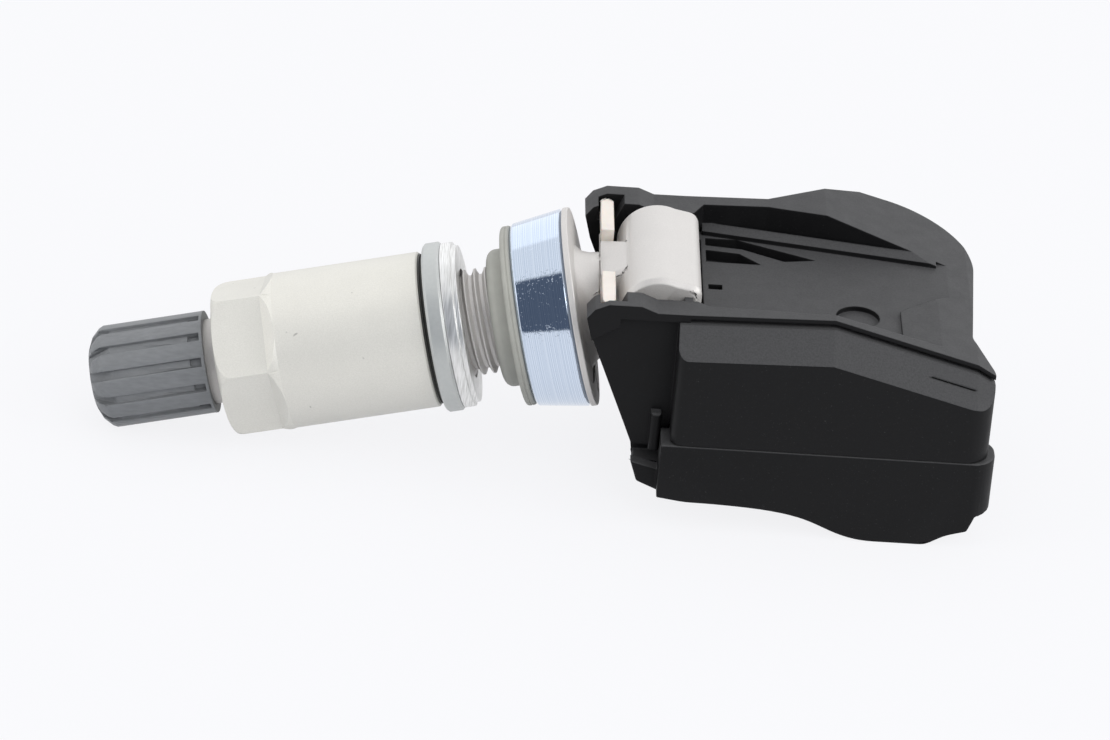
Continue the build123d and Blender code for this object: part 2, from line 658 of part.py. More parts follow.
def far_ledge():
    """Sloped ledge along the foot of the channel's far wall."""
    section = Polyline((0, FLOOR_Z - WALL / 2), (0, FLOOR_Z + LEDGE_H), (-LEDGE_W, FLOOR_Z + LEDGE_H / 2),
                       (-LEDGE_W, FLOOR_Z - WALL / 2), close=True)
    start = Plane(origin=(RIB_X + RIB_W + 1, CHANNEL_FAR_Y + LEDGE_ROOT, 0), x_dir=(0, 1, 0),
                  z_dir=(1, 0, 0))
    end = Plane(origin=(CHANNEL_FAR_END_X, CHANNEL_FAR_END_Y + LEDGE_ROOT, 0), x_dir=(0, 1, 0),
                z_dir=(1, 0, 0))
    return loft([start * make_face(section), end * make_face(section)])


def floor_pockets():
    """Two moulding pockets behind the barrel, with a slanted rib left between them."""
    x0 = well_r + 0.4
    floor_edge = 4.3
    rib_end_x = x0 + 6.4
    inner = [(x0, floor_edge), (rib_end_x - 1.2, floor_edge), (x0 + 3.2, floor_edge + 1.9),
             (x0, floor_edge + 2.3)]
    outer = [(x0, floor_edge + 2.3 + RIB_T), (x0 + 3.5, floor_edge + 1.9 + RIB_T),
             (rib_end_x + 1, floor_edge + RIB_T), (rib_end_x + 4, floor_edge + RIB_T + 0.6),
             (x0 + 3, CHANNEL_FAR_Y - LEDGE_W - 0.4), (x0, CHANNEL_FAR_Y - LEDGE_W - 0.4)]
    return [prism_z(p, FLOOR_Z - POCKET_DEEP, FLOOR_Z + 1) for p in (inner, outer)]


def floor_marks():
    """Round dimple, pressure port and the outline of the raised rear pad, for cutting."""
    dimple = Cylinder(DIMPLE_D / 2, 2 * DIMPLE_T).moved(Location((DIMPLE_X, DIMPLE_Y, FLOOR_Z)))
    port = block(PORT_X - PORT_W / 2, PORT_X + PORT_W / 2, PORT_Y - PORT_H / 2, PORT_Y + PORT_H / 2,
                 ceiling_z - WALL, FLOOR_Z + 1)
    return [dimple, port]


def rear_pad():
    """Low raised pad in the near rear corner of the channel."""
    edge = [(DIMPLE_X + 4, -CHANNEL_REAR_Y), (DIMPLE_X + 4, DIMPLE_Y + 1), (DIMPLE_X + 9.3, DIMPLE_Y + 5.2),
            (DIMPLE_X + 10.6, DIMPLE_Y + 3.7), (DIMPLE_X + 10.6, -CHANNEL_REAR_Y)]
    return prism_z(edge, FLOOR_Z - WALL / 2, FLOOR_Z + PAD_T)


def saddle():
    """Cradle under the barrel that joins the two ears to the pods."""
    return block(LID_NOSE_X, well_r + 3, -EAR_IN_Y - FIT_RUN, EAR_IN_Y + FIT_RUN, SEAM_Z, FLOOR_Z)


def swing_room():
    """Room for the barrel all round and for the web of the neck in front of it."""
    half = EAR_IN_Y
    barrel_room = rod_y(-half, half, well_r)
    over = block(-well_r, well_r, -half, half, 0, 2 * well_r)
    sweep_disc = rod_y(-half, half, SWING_R)
    sweep_disc &= block(-2 * SWING_R, BARREL_R / 4, -half, half, -2 * SWING_R, 2 * SWING_R)
    return [barrel_room, over, sweep_disc]


def shell_cavity():
    """Inside of the shell under its floor, clear of the well of the barrel."""
    room = extrude(pod_plan(WALL), amount=ceiling_z - SEAM_Z + 0.01).moved(Location((0, 0, SEAM_Z - 0.01)))
    under = rail_line(WALL + 0.6, POD_FRONT)
    room -= prism_y(under + [(POD_REAR + CUT_OVER, CUT_FAR), (POD_FRONT, CUT_FAR)], -POD_HALF_Y, POD_FAR_Y)
    return room - rod_y(-POD_HALF_Y, POD_FAR_Y, well_r + WALL)


def notches():
    """Open notches over the ears for the arms of the white bar, leaning back along its swing."""
    half = BAR_HALF_Y + NOTCH_MARGIN
    front_x = BAR_X - BAR_W / 2 - NOTCH_MARGIN
    rear_x = BAR_X + BAR_W / 2 + NOTCH_MARGIN
    low_z = BAR_TOP - BAR_T - NOTCH_MARGIN
    high_z = BAR_TOP + BAR_T + NOTCH_MARGIN
    return prism_y([(front_x, low_z), (rear_x, low_z), (rear_x + NOTCH_LEAN * (high_z - low_z), high_z),
                    (front_x, high_z)], -half, half)


def upper_housing():
    """Black nylon shell: pods, rails, ears, saddle and channel in one moulding."""
    shell = extrude(pod_plan(0), amount=RAIL_FRONT_Z + 2 - SEAM_Z).moved(Location((0, 0, SEAM_Z)))
    shell -= above_rails()
    for cut in shoulder_cut(RAIL_OUT_Y):
        shell -= cut
    flare = prism_z([(-CUT_FAR, FAR_RAIL_Y), (FAR_WIDE_X, FAR_RAIL_Y), (FAR_FULL_X, POD_FAR_Y),
                     (FAR_FULL_X, CUT_FAR), (-CUT_FAR, CUT_FAR)], -CUT_FAR, CUT_FAR)
    for cut in shoulder_cut(FAR_RAIL_Y):
        shell -= cut.mirror(Plane.XZ) & flare
    shell -= rail_groove()
    shell -= channel()
    shell += far_ledge() - above_rails()
    shell += rear_pad() - above_rails()
    shell += saddle()
    for cut in floor_pockets() + floor_marks():
        shell -= cut
    shell -= shell_cavity()
    for piece in swing_room():
        shell -= piece
    shell += ear(RAIL_OUT_Y)
    shell += ear(FAR_RAIL_Y).mirror(Plane.XZ)
    return shell - notches()


# Lid

def lid_side(rise):
    """Side outline of the lid, its bottom line lifted by a rise."""
    land0, land1 = REST_X - REST_HALF, REST_X + REST_HALF
    low = BELLY_Z + rise
    front = LID_FRONT_Z + rise
    top = SEAM_Z - FIT_SEAM
    nose = LID_NOSE_X + LID_NOSE_SLANT
    belly = Spline((POD_FRONT + 2.5, front), (BREAK_X / 2, front - 0.1), (BREAK_X - 1, front - 1.15),
                   (land0, low), tangents=[(1, 0), (1, 0)])
    tail = Spline((land1, low), (REST_X + 4.5, low + 1.0), (LID_STEP_X, LID_REAR_Z + rise),
                  tangents=[(1, 0), (1, 0.35)])
    lines = [Polyline((LID_NOSE_X, top), (nose, front + LID_CHIN)),
             Spline((nose, front + LID_CHIN), (POD_FRONT - 0.3, front + LID_CHIN / 3),
                    (POD_FRONT + 2.5, front), tangents=[(1, -0.5), (1, 0)]),
             belly, Line((land0, low), (land1, low)), tail,
             Polyline((LID_STEP_X, LID_REAR_Z + rise), (LID_STEP_X + 0.6, LID_STEP_Z + rise),
                      (POD_REAR + CUT_OVER, LID_STEP_Z + 0.3 + rise), (POD_REAR + CUT_OVER, top),
                      (LID_NOSE_X, top))]
    return make_face(Plane.XZ * Wire([e for line in lines for e in line.edges()]))


def lid_body(rise, inset):
    """Solid between the seam and the bottom line, inside the plan of pods and nose."""
    side = extrude(lid_side(rise), amount=POD_FAR_Y + CUT_OVER, both=True)
    plan = extrude(pod_plan(inset, LID_REAR_OUT), amount=-CUT_FAR).moved(Location((0, 0, SEAM_Z)))
    half = EAR_IN_Y - FIT_SLIDE - inset
    back = POD_FRONT + 2 * WALL
    plan += block(LID_NOSE_X + inset, back, -half, half, SEAM_Z - CUT_FAR, SEAM_Z)
    corner = block(POD_FRONT - LID_OUT + inset, back, -POD_HALF_Y + inset,
                   -EAR_WEB_Y - FIT_SLIDE - inset, SEAM_Z - CUT_FAR, SEAM_Z)
    for piece in mirrored_pair(corner):
        plan += piece
    return side & plan


def lid_ribs():
    """Ring that seats the coin cell and posts that carry the board."""
    ring = Cylinder(CELL_D / 2 + WALL / 2, cell_low_z - BELLY_Z + 1.5) - Cylinder(
        CELL_D / 2 - WALL, cell_low_z - BELLY_Z + 4)
    ring = ring.moved(Location((CELL_X, 0, (cell_low_z + BELLY_Z - 1.5) / 2 - FIT_SEAT)))
    ring -= block(CELL_X - TAB_W, CELL_X + TAB_W, -CELL_D, -CELL_D / 4, cell_low_z - 3 * TAB_T, 0)
    height = BOARD_LOW_Z - BELLY_Z - FIT_SEAT
    post = Cylinder(BOARD_POST_D / 2, height)
    places = [(POST_X, -POST_Y), (POST_X, POST_Y), (POST_REAR_X, -POST_Y),
              (POST_REAR_X - POST_FAR_IN, POST_Y - POST_FAR_IN)]
    return [ring] + [post.moved(Location((x, y, BELLY_Z + height / 2))) for x, y in places]


def apron():
    """Shelf under the ears: a floor with two wings, in front of the lid's nose wall."""
    low_z = LID_FRONT_Z + LID_CHIN
    back = POD_FRONT + WALL / 2
    wing = [(WING_X, WING_TOP_Z), (back, WING_TOP_Z - WING_FALL), (back, LID_FRONT_Z + FIT_RUN),
            (POD_FRONT - LID_OUT, LID_FRONT_Z + FIT_RUN), (WING_X + LID_NOSE_SLANT, low_z)]
    whole = prism_y(wing, -WING_Y, WING_Y)
    room = block(WING_X - 1, POD_FRONT, -WING_Y + WING_T, WING_Y - WING_T, low_z + WING_T, SEAM_Z)
    return whole - room


def lower_lid():
    """Black nylon lid: a curved belly, a locating lip, posts for the board and a front apron."""
    outer = lid_body(0, 0)
    inner = lid_body(WALL, WALL)
    lid = outer - inner.moved(Location((0, 0, 0.01)))
    for rib in lid_ribs():
        lid += rib & outer
    inner_plan = pod_plan(lip_inset)
    lip = extrude(pod_plan(WALL + FIT_SLIDE) - inner_plan, amount=LID_LIP_H + LID_LIP_T)
    root = extrude(pod_plan(WALL / 2) - inner_plan, amount=LID_LIP_T)
    behind = block(well_r + WALL + 1, POD_REAR, -POD_HALF_Y, POD_FAR_Y,
                   SEAM_Z - 5 * CUT_OVER, SEAM_Z + 5 * CUT_OVER)
    root_z = SEAM_Z - FIT_SEAM - LID_LIP_T
    lid += (lip + root).moved(Location((0, 0, root_z))) & behind
    return lid + (apron() - inner)


# Electronics

def circuit_board():
    """Board whose outline follows the inside of the lid's lip."""
    board = extrude(pod_plan(lip_inset + FIT_SLIDE), amount=BOARD_T).moved(Location((0, 0, BOARD_LOW_Z)))
    return board & block(BOARD_X0, POD_REAR, -POD_HALF_Y, POD_FAR_Y, SEAM_Z, 0)


def coin_cell():
    """Sealed coin cell: a wide can and the narrower lid of its other pole."""
    can = Cylinder(CELL_D / 2, CELL_H - CELL_CAN_STEP).moved(
        Location((CELL_X, 0, cell_low_z + (CELL_H - CELL_CAN_STEP) / 2)))
    can = fillet(can.edges().filter_by(GeomType.CIRCLE), CELL_CAN_STEP / 2)
    lid = Cylinder(CELL_D / 2 - CELL_LID_IN, CELL_CAN_STEP + 0.5).moved(
        Location((CELL_X, 0, cell_top_z - (CELL_CAN_STEP + 0.5) / 2)))
    return can + lid


def cell_tab(side):
    """Welded strip from a pole of the cell up to the board, one on each side."""
    y_out = side * (CELL_D / 2 + 4 * TAB_T)
    y_in = side * (CELL_D / 2 - TAB_REACH)
    pole_z = cell_top_z + FIT_SEAT if side > 0 else cell_low_z - TAB_T - FIT_SEAT
    low, high = sorted((y_in, y_out))
    flat = block(CELL_X - TAB_W / 2, CELL_X + TAB_W / 2, low, high, pole_z, pole_z + TAB_T)
    low, high = sorted((y_out, y_out - side * TAB_T))
    leg = block(CELL_X - TAB_W / 2, CELL_X + TAB_W / 2, low, high, pole_z, BOARD_LOW_Z - FIT_SEAT)
    return flat + leg


def pressure_sensor():
    """Moulded sensor package with a round port in its top."""
    x = PORT_X - CHIP_PORT_IN
    body = block(x, x + CHIP_L, PORT_Y - CHIP_W / 2, PORT_Y + CHIP_W / 2, board_top_z + FIT_SEAT,
                 sensor_top_z)
    return body - Cylinder(CHIP_PORT_D / 2, CHIP_H).moved(Location((PORT_X, PORT_Y, sensor_top_z)))


def port_seal():
    """Soft collar that leads the air from the port in the floor to the sensor."""
    low = sensor_top_z + FIT_SEAT
    high = ceiling_z - FIT_SEAT
    collar = Cylinder(SEAL_RING_D / 2, high - low) - Cylinder(CHIP_PORT_D / 2, high - low + 1)
    collar = collar.moved(Location((PORT_X, PORT_Y, (low + high) / 2)))
    return collar - rod_y(-SEAL_RING_D, SEAL_RING_D, well_r + WALL + FIT_SEAT)


def antenna_core():
    """Ferrite bar of the low-frequency antenna, across the board."""
    low = board_top_z + COIL_T + 2 * FIT_SEAT
    bar = block(antenna_x - CORE_BAR_W / 2, antenna_x + CORE_BAR_W / 2, -CORE_BAR_L / 2, CORE_BAR_L / 2,
                low, low + CORE_BAR_W / 2)
    foot = block(antenna_x - CORE_BAR_W / 2, antenna_x + CORE_BAR_W / 2, -CORE_BAR_L / 2,
                 -CORE_BAR_L / 2 + (CORE_BAR_L - COIL_L) / 3, board_top_z + FIT_SEAT, low)
    near, far = mirrored_pair(foot)
    return bar + near + far


def antenna_coil():
    """Copper winding round the middle of the ferrite bar."""
    low = board_top_z + FIT_SEAT
    high = low + 2 * COIL_T + CORE_BAR_W / 2
    half = CORE_BAR_W / 2 + COIL_T
    coil = block(antenna_x - half, antenna_x + half, -COIL_L / 2, COIL_L / 2, low, high)
    coil = fillet(coil.edges().filter_by(Axis.Y), COIL_T)
    bar = block(antenna_x - CORE_BAR_W / 2 - FIT_SEAT, antenna_x + CORE_BAR_W / 2 + FIT_SEAT,
                -COIL_L, COIL_L, low + COIL_T, high - COIL_T + 2 * FIT_SEAT)
    return coil - bar


def crystal():
    """Metal can of the quartz crystal."""
    x = CELL_X - CRYSTAL_L
    can = block(x, x + CRYSTAL_L, -CHIPCAP_Y - CRYSTAL_W, -CHIPCAP_Y,
                board_top_z + FIT_SEAT, board_top_z + FIT_SEAT + CRYSTAL_H)
    return fillet(can.edges().filter_by(Axis.Z), CRYSTAL_H / 2)


def chip_capacitors():
    """Row of chip capacitors along the far side of the board, as separate solids."""
    parts = []
    for i in range(CHIPCAP_N):
        x = CELL_X - CHIPCAP_N * CHIPCAP_STEP / 2 + i * CHIPCAP_STEP
        parts.append(block(x, x + CHIPCAP_W, CHIPCAP_Y, CHIPCAP_Y + CHIPCAP_L,
                           board_top_z + FIT_SEAT, board_top_z + FIT_SEAT + CHIPCAP_W))
    return Compound(children=parts)


on_valve = {
    "support_ring": support_ring(), "rubber_seal": rubber_seal(), "clamp_washer": clamp_washer(),
    "flange_ring": flange_ring(), "friction_ring": friction_ring(), "collar_nut": collar_nut(),
    "valve_cap": valve_cap(), "cap_gasket": cap_gasket(), "core_barrel": core_barrel(),
    "core_gasket": core_gasket(), "core_pin": core_pin(), "core_seal": core_seal(),
    "core_spring": core_spring(),
}
in_place = {
    "valve_stem": valve_stem(), "lock_bar": lock_bar(), "upper_housing": upper_housing(),
    "lower_lid": lower_lid(), "circuit_board": circuit_board(), "coin_cell": coin_cell(),
    "cell_tab_low": cell_tab(-1), "cell_tab_top": cell_tab(1), "pressure_sensor": pressure_sensor(),
    "port_seal": port_seal(), "antenna_core": antenna_core(), "antenna_coil": antenna_coil(),
    "crystal": crystal(), "chip_capacitors": chip_capacitors(),
}

os.makedirs("parts", exist_ok=True)
for name, piece in on_valve.items():
    export_step(row_place * (valve_place * piece), f"parts/{name}.step")
for name, piece in in_place.items():
    export_step(row_place * piece, f"parts/{name}.step")
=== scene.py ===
"""A tyre pressure sensor: clamp-in valve, collar nut, seals and cap on a black sensor housing."""
import math

import bmesh
import bpy
from mathutils import Matrix, Vector


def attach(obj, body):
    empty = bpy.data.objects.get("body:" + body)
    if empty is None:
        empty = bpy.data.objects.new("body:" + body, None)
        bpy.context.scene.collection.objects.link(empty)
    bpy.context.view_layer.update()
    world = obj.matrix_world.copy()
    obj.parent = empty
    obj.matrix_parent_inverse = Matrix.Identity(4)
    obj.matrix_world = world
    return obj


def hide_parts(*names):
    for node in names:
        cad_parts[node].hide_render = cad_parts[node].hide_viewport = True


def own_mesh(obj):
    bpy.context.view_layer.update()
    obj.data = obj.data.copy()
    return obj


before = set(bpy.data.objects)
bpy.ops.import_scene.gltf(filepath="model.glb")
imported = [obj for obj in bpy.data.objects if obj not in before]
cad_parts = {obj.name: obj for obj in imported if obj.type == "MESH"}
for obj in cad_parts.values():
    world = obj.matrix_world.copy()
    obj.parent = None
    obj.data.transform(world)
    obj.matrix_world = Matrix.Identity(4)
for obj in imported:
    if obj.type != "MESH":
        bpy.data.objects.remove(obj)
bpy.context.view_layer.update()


# Circuit board
# The board of glass cloth and epoxy carries every electronic part and rests on posts in the shell.
# Its green solder mask is printed, so the cloth shows through it as a faint weave.

def linear(code):
    """Turn an sRGB hex colour into the linear red, green, blue and alpha that a shader takes."""
    parts = [int(code[i:i + 2], 16) / 255 for i in (1, 3, 5)]
    return [p / 12.92 if p < 0.04045 else ((p + 0.055) / 1.055) ** 2.4 for p in parts] + [1.0]


def finish(name):
    """A new material with an empty shader, ready for its surface."""
    material = bpy.data.materials.new(name)
    material.use_nodes = True
    return material


def add(owner, kind, inputs=None, **settings):
    """Add a node, or take the one of that name; apply its settings, socket values and links."""
    tree = owner.node_tree
    node = tree.nodes.get(kind) or tree.nodes.new(kind)
    for key, value in settings.items():
        setattr(node, key, value)
    for key, value in (inputs or {}).items():
        if isinstance(value, bpy.types.NodeSocket):
            tree.links.new(value, node.inputs[key])
        else:
            node.inputs[key].default_value = value
    return node


def dress(material, *nodes):
    """Give CAD nodes whose shape is right their finish."""
    for node in nodes:
        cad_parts[node].material_slots[0].material = material


WEAVE = 0.5            # mm between the threads of the glass cloth
WEAVE_DEPTH = 0.02     # mm
BAND = math.pi / 10    # what a wave texture of scale 1 leaves between two bands

# Solder mask over glass cloth: deep green, half glossy, with a lighter thread net just visible.
laminate = finish("laminate_green_solder_mask")
where = add(laminate, "ShaderNodeTexCoord").outputs["Object"]
warp = add(laminate, "ShaderNodeTexWave", {"Vector": where, "Scale": 1000 / WEAVE * BAND,
                                           "Distortion": 0.2}, bands_direction="X")
weft = add(laminate, "ShaderNodeTexWave", {"Vector": where, "Scale": 1000 / WEAVE * BAND,
                                           "Distortion": 0.2}, bands_direction="Y")
net = add(laminate, "ShaderNodeMath", {0: warp.outputs["Fac"], 1: weft.outputs["Fac"]},
          operation="MAXIMUM")
green = add(laminate, "ShaderNodeMix", {"Factor": net.outputs[0], 6: linear("#17492f"),
                                        7: linear("#1f5c3b")}, data_type="RGBA")
relief = add(laminate, "ShaderNodeBump", {"Height": net.outputs[0], "Strength": 0.2,
                                          "Distance": WEAVE_DEPTH / 1000})
add(laminate, "Principled BSDF", {"Base Color": green.outputs[2], "Roughness": 0.34, "IOR": 1.55,
                                  "Normal": relief.outputs[0]})
dress(laminate, "circuit_board")


# Parts soldered to the board
# A moulded sensor chip, a sealed crystal, six ceramic capacitors and a wound ferrite antenna.
# All are placed by machine and soldered; nothing of them shows once the lid is on.

SILICA = 0.11      # mm, grains of the filler

# Black moulding compound: dull, with the fine grain of its silica filler.
chip_epoxy = finish("epoxy_moulding_compound")
grains = add(chip_epoxy, "ShaderNodeTexNoise",
             {"Vector": add(chip_epoxy, "ShaderNodeTexCoord").outputs["Object"],
              "Scale": 1000 / SILICA})
add(chip_epoxy, "Principled BSDF", {
    "Base Color": add(chip_epoxy, "ShaderNodeMix", {"Factor": grains.outputs["Fac"],
                                                    6: linear("#17181a"), 7: linear("#232427")},
                      data_type="RGBA").outputs[2],
    "Roughness": 0.55, "IOR": 1.55})
dress(chip_epoxy, "pressure_sensor")

DRAWING = 0.1      # mm between drawing marks

# Nickel plated can: bright and faintly warm, with fine drawing marks.
can_metal = finish("nickel_plated_steel_can")
marks = add(can_metal, "ShaderNodeTexNoise",
            {"Vector": add(can_metal, "ShaderNodeTexCoord").outputs["Object"], "Scale": 1000 / DRAWING})
add(can_metal, "Principled BSDF", {
    "Base Color": linear("#c9c4ba"), "Metallic": 1.0,
    "Roughness": add(can_metal, "ShaderNodeMapRange", {"Value": marks.outputs["Fac"], "To Min": 0.2,
                                                       "To Max": 0.32}).outputs[0]})
dress(can_metal, "crystal")

FIRING = 0.4       # mm, patches left by firing

# Barium titanate ceramic: matt tan, a little uneven from firing.
chip_ceramic = finish("fired_ceramic")
fired = add(chip_ceramic, "ShaderNodeTexNoise",
            {"Vector": add(chip_ceramic, "ShaderNodeTexCoord").outputs["Object"],
             "Scale": 1000 / FIRING})
add(chip_ceramic, "Principled BSDF", {
    "Base Color": add(chip_ceramic, "ShaderNodeMix", {"Factor": fired.outputs["Fac"],
                                                      6: linear("#8d7458"), 7: linear("#a88c6c")},
                      data_type="RGBA").outputs[2],
    "Roughness": 0.45, "IOR": 1.6})
dress(chip_ceramic, "chip_capacitors")

PORE, PORE_DEPTH = 0.14, 0.02      # mm, pores left by sintering

# Pressed and sintered ferrite: dark grey stone with fine pores.
ferrite = finish("sintered_ferrite")
pores = add(ferrite, "ShaderNodeTexNoise",
            {"Vector": add(ferrite, "ShaderNodeTexCoord").outputs["Object"], "Scale": 1000 / PORE,
             "Detail": 4.0})
add(ferrite, "Principled BSDF", {
    "Base Color": add(ferrite, "ShaderNodeMix", {"Factor": pores.outputs["Fac"],
                                                 6: linear("#2b2a2b"), 7: linear("#454447")},
                      data_type="RGBA").outputs[2],
    "Roughness": 0.6, "IOR": 1.8,
    "Normal": add(ferrite, "ShaderNodeBump", {"Height": pores.outputs["Fac"], "Strength": 0.3,
                                              "Distance": PORE_DEPTH / 1000}).outputs[0]})
dress(ferrite, "antenna_core")

WIRE = 0.12        # mm, the enamelled wire of the winding
WIRE_DEPTH = 0.04  # mm, the hollow between two turns

# Enamelled copper wire: clear lacquer over red metal, painted dark between turns and bright on each
# turn (painted shade and highlight).
coil_copper = finish("enamelled_copper_wire")
turns = add(coil_copper, "ShaderNodeTexWave",
            {"Vector": add(coil_copper, "ShaderNodeTexCoord").outputs["Object"],
             "Scale": 1000 / WIRE * BAND}, bands_direction="Y")
add(coil_copper, "Principled BSDF", {
    # Painted shade and highlight: the colour runs from dark copper between the turns to bright copper
    # on each turn.
    "Base Color": add(coil_copper, "ShaderNodeMix", {"Factor": turns.outputs["Fac"],
                                                     6: linear("#7a3b1d"), 7: linear("#c46a3c")},
                      data_type="RGBA").outputs[2],
    "Metallic": 1.0, "Roughness": 0.3, "Coat Weight": 0.6, "Coat Roughness": 0.1,
    "Normal": add(coil_copper, "ShaderNodeBump", {"Height": turns.outputs["Fac"], "Strength": 0.5,
                                                  "Distance": WIRE_DEPTH / 1000}).outputs[0]})
dress(coil_copper, "antenna_coil")


# Battery and its tabs, and the seal of the pressure port
# A lithium coin cell hangs under the board, welded to two nickel strips that stand on it.
# A soft silicone ring closes the gap between the shell's pressure port and the sensor chip.

ROLLING, ROLLED = 0.11, 2.5      # mm between rolling lines, and how long they run

# Stainless can of the cell: rolled sheet, satin, with rolling lines along one way.
cell_steel = finish("stainless_steel_rolled")
sheet = add(cell_steel, "ShaderNodeMapping",
            {"Vector": add(cell_steel, "ShaderNodeTexCoord").outputs["Object"],
             "Scale": (1000 / ROLLED, 1000 / ROLLING, 1000 / ROLLED)})
lines = add(cell_steel, "ShaderNodeTexNoise", {"Vector": sheet.outputs[0], "Scale": 1.0})
add(cell_steel, "Principled BSDF", {
    "Base Color": linear("#bdbdbb"), "Metallic": 1.0,
    "Roughness": add(cell_steel, "ShaderNodeMapRange", {"Value": lines.outputs["Fac"], "To Min": 0.22,
                                                        "To Max": 0.38}).outputs[0]})
dress(cell_steel, "coin_cell")

SLITTING = 0.33    # mm between slitting marks

# Pure nickel strip: soft and slightly yellow, with faint slitting marks.
tab_nickel = finish("nickel_strip")
slit = add(tab_nickel, "ShaderNodeTexNoise",
           {"Vector": add(tab_nickel, "ShaderNodeTexCoord").outputs["Object"],
            "Scale": 1000 / SLITTING})
add(tab_nickel, "Principled BSDF", {
    "Base Color": linear("#cbc3b2"), "Metallic": 1.0,
    "Roughness": add(tab_nickel, "ShaderNodeMapRange", {"Value": slit.outputs["Fac"], "To Min": 0.25,
                                                        "To Max": 0.42}).outputs[0]})
dress(tab_nickel, "cell_tab_low", "cell_tab_top")

DUST = 0.5         # mm, specks of dust on soft rubber

# Moulded silicone: milky, soft, lets a little light through.
silicone = finish("silicone_rubber_milky")
dust = add(silicone, "ShaderNodeTexNoise",
           {"Vector": add(silicone, "ShaderNodeTexCoord").outputs["Object"], "Scale": 1000 / DUST})
add(silicone, "Principled BSDF", {
    "Base Color": add(silicone, "ShaderNodeMix", {"Factor": dust.outputs["Fac"],
                                                  6: linear("#b9b7b0"), 7: linear("#cccac3")},
                      data_type="RGBA").outputs[2],
    "Roughness": 0.6, "IOR": 1.41, "Subsurface Weight": 0.2, "Subsurface Scale": 0.0006})
dress(silicone, "port_seal")


# Shell and lid of the housing
# Two injection mouldings in black glass filled nylon. The lid is pushed into the shell and welded
# round the seam. The shell's two ears hold the barrel of the valve stem.

def piece(name, bm, crease=32):
    """Make an object of a worked mesh, faces outward and smooth up to the crease angle."""
    bmesh.ops.recalc_face_normals(bm, faces=bm.faces)
    mesh = bpy.data.meshes.new(name)
    bm.to_mesh(mesh)
    bm.free()
    mesh.shade_smooth()
    mesh.set_sharp_from_angle(angle=math.radians(crease))
    obj = bpy.data.objects.new(name, mesh)
    bpy.context.scene.collection.objects.link(obj)
    return obj


def fit(obj, material, body, slot, *nodes):
    """Finish a piece and put it on its body in place of the CAD nodes it stands for."""
    obj.data.materials.append(material)
    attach(obj, body)
    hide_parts(*nodes)


def soften(obj, radius, sides=3):
    """Round the sharp edges of a piece, in millimetres."""
    rounding = obj.modifiers.new("rounded edges", "BEVEL")
    rounding.width = radius / 1000
    rounding.segments = sides
    rounding.limit_method = "ANGLE"
    rounding.angle_limit = math.radians(32)
    rounding.use_clamp_overlap = False
    rounding.harden_normals = True
    rounding.miter_outer = "MITER_ARC"


def shaped_as(node):
    """A worked mesh with a CAD node's shape, its flat faces joined up."""
    bm = bmesh.new()
    bm.from_mesh(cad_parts[node].data)
    bmesh.ops.remove_doubles(bm, verts=bm.verts, dist=1e-7)
    bmesh.ops.join_triangles(bm, faces=bm.faces, angle_face_threshold=math.radians(1),
                             angle_shape_threshold=math.radians(180))
    return bm


SHELL_EDGE = 0.16     # mm, what the spark eroded mould leaves on every edge
MOULD_GRAIN = 0.16    # mm, the spark eroded grain, as coarse as it needs to show
GRAIN_DEPTH = 0.02    # mm
MOTTLE = 1.6          # mm, patches where more glass lies at the surface

# Glass filled nylon from an eroded mould: near black and matt, with a fine grain and pale flecks of
# glass. Faces that lie upward are painted a lighter grey: painted light from overhead.
nylon = finish("glass_filled_nylon_black")
where = add(nylon, "ShaderNodeTexCoord").outputs["Object"]
grain = add(nylon, "ShaderNodeTexNoise", {"Vector": where, "Scale": 1000 / MOULD_GRAIN, "Detail": 3.0})
patches = add(nylon, "ShaderNodeTexNoise", {"Vector": where, "Scale": 1000 / MOTTLE, "Detail": 2.0})
flecks = add(nylon, "ShaderNodeMapRange", {"Value": grain.outputs["Fac"], "From Min": 0.66,
                                           "From Max": 0.86})
tone = add(nylon, "ShaderNodeMix", {"Factor": patches.outputs["Fac"], 6: linear("#131314"),
                                    7: linear("#181819")}, data_type="RGBA")
# Painted light: faces that lie upward are painted a lighter grey (#464647) as if lit from overhead,
# broken up a little by the grain.
upward = add(nylon, "ShaderNodeSeparateXYZ", {0: add(nylon, "ShaderNodeNewGeometry").outputs["Normal"]})
top_light_and_chalk_bloom = add(nylon, "ShaderNodeMapRange", {"Value": upward.outputs[2], "From Min": 0.15,
                                          "From Max": 0.75, "To Max": 0.9},
            interpolation_type="SMOOTHSTEP")
top_light_and_chalk_bloom = add(nylon, "ShaderNodeMath", {0: top_light_and_chalk_bloom.outputs[0], 1: add(
    nylon, "ShaderNodeMapRange", {"Value": grain.outputs["Fac"], "From Min": 0.3, "From Max": 0.7,
                                  "To Min": 0.8, "To Max": 1.1}).outputs[0]}, operation="MULTIPLY")
tone = add(nylon, "ShaderNodeMix", {"Factor": top_light_and_chalk_bloom.outputs[0], 6: tone.outputs[2],
                                    7: linear("#464647")}, data_type="RGBA")
tone = add(nylon, "ShaderNodeMix", {"Factor": flecks.outputs[0], 6: tone.outputs[2],
                                    7: linear("#3c3c3d")}, data_type="RGBA")
skin = add(nylon, "ShaderNodeMapRange", {"Value": patches.outputs["Fac"], "From Min": 0.3,
                                         "From Max": 0.7, "To Min": 0.44, "To Max": 0.54})
rounded = add(nylon, "ShaderNodeBevel", {"Radius": 1.5 * SHELL_EDGE / 1000}, samples=6)
relief = add(nylon, "ShaderNodeBump", {"Height": grain.outputs["Fac"], "Strength": 0.35,
                                       "Distance": GRAIN_DEPTH / 1000, "Normal": rounded.outputs[0]})
add(nylon, "Principled BSDF", {"Base Color": tone.outputs[2], "Roughness": skin.outputs[0],
                               "IOR": 1.53, "Specular IOR Level": 0.12,
                               "Normal": relief.outputs[0]})
dress(nylon, "upper_housing")
lid = piece("housing_lid", shaped_as("lower_lid"))
soften(lid, SHELL_EDGE)
fit(lid, nylon, "housing", "housing_nylon", "lower_lid")


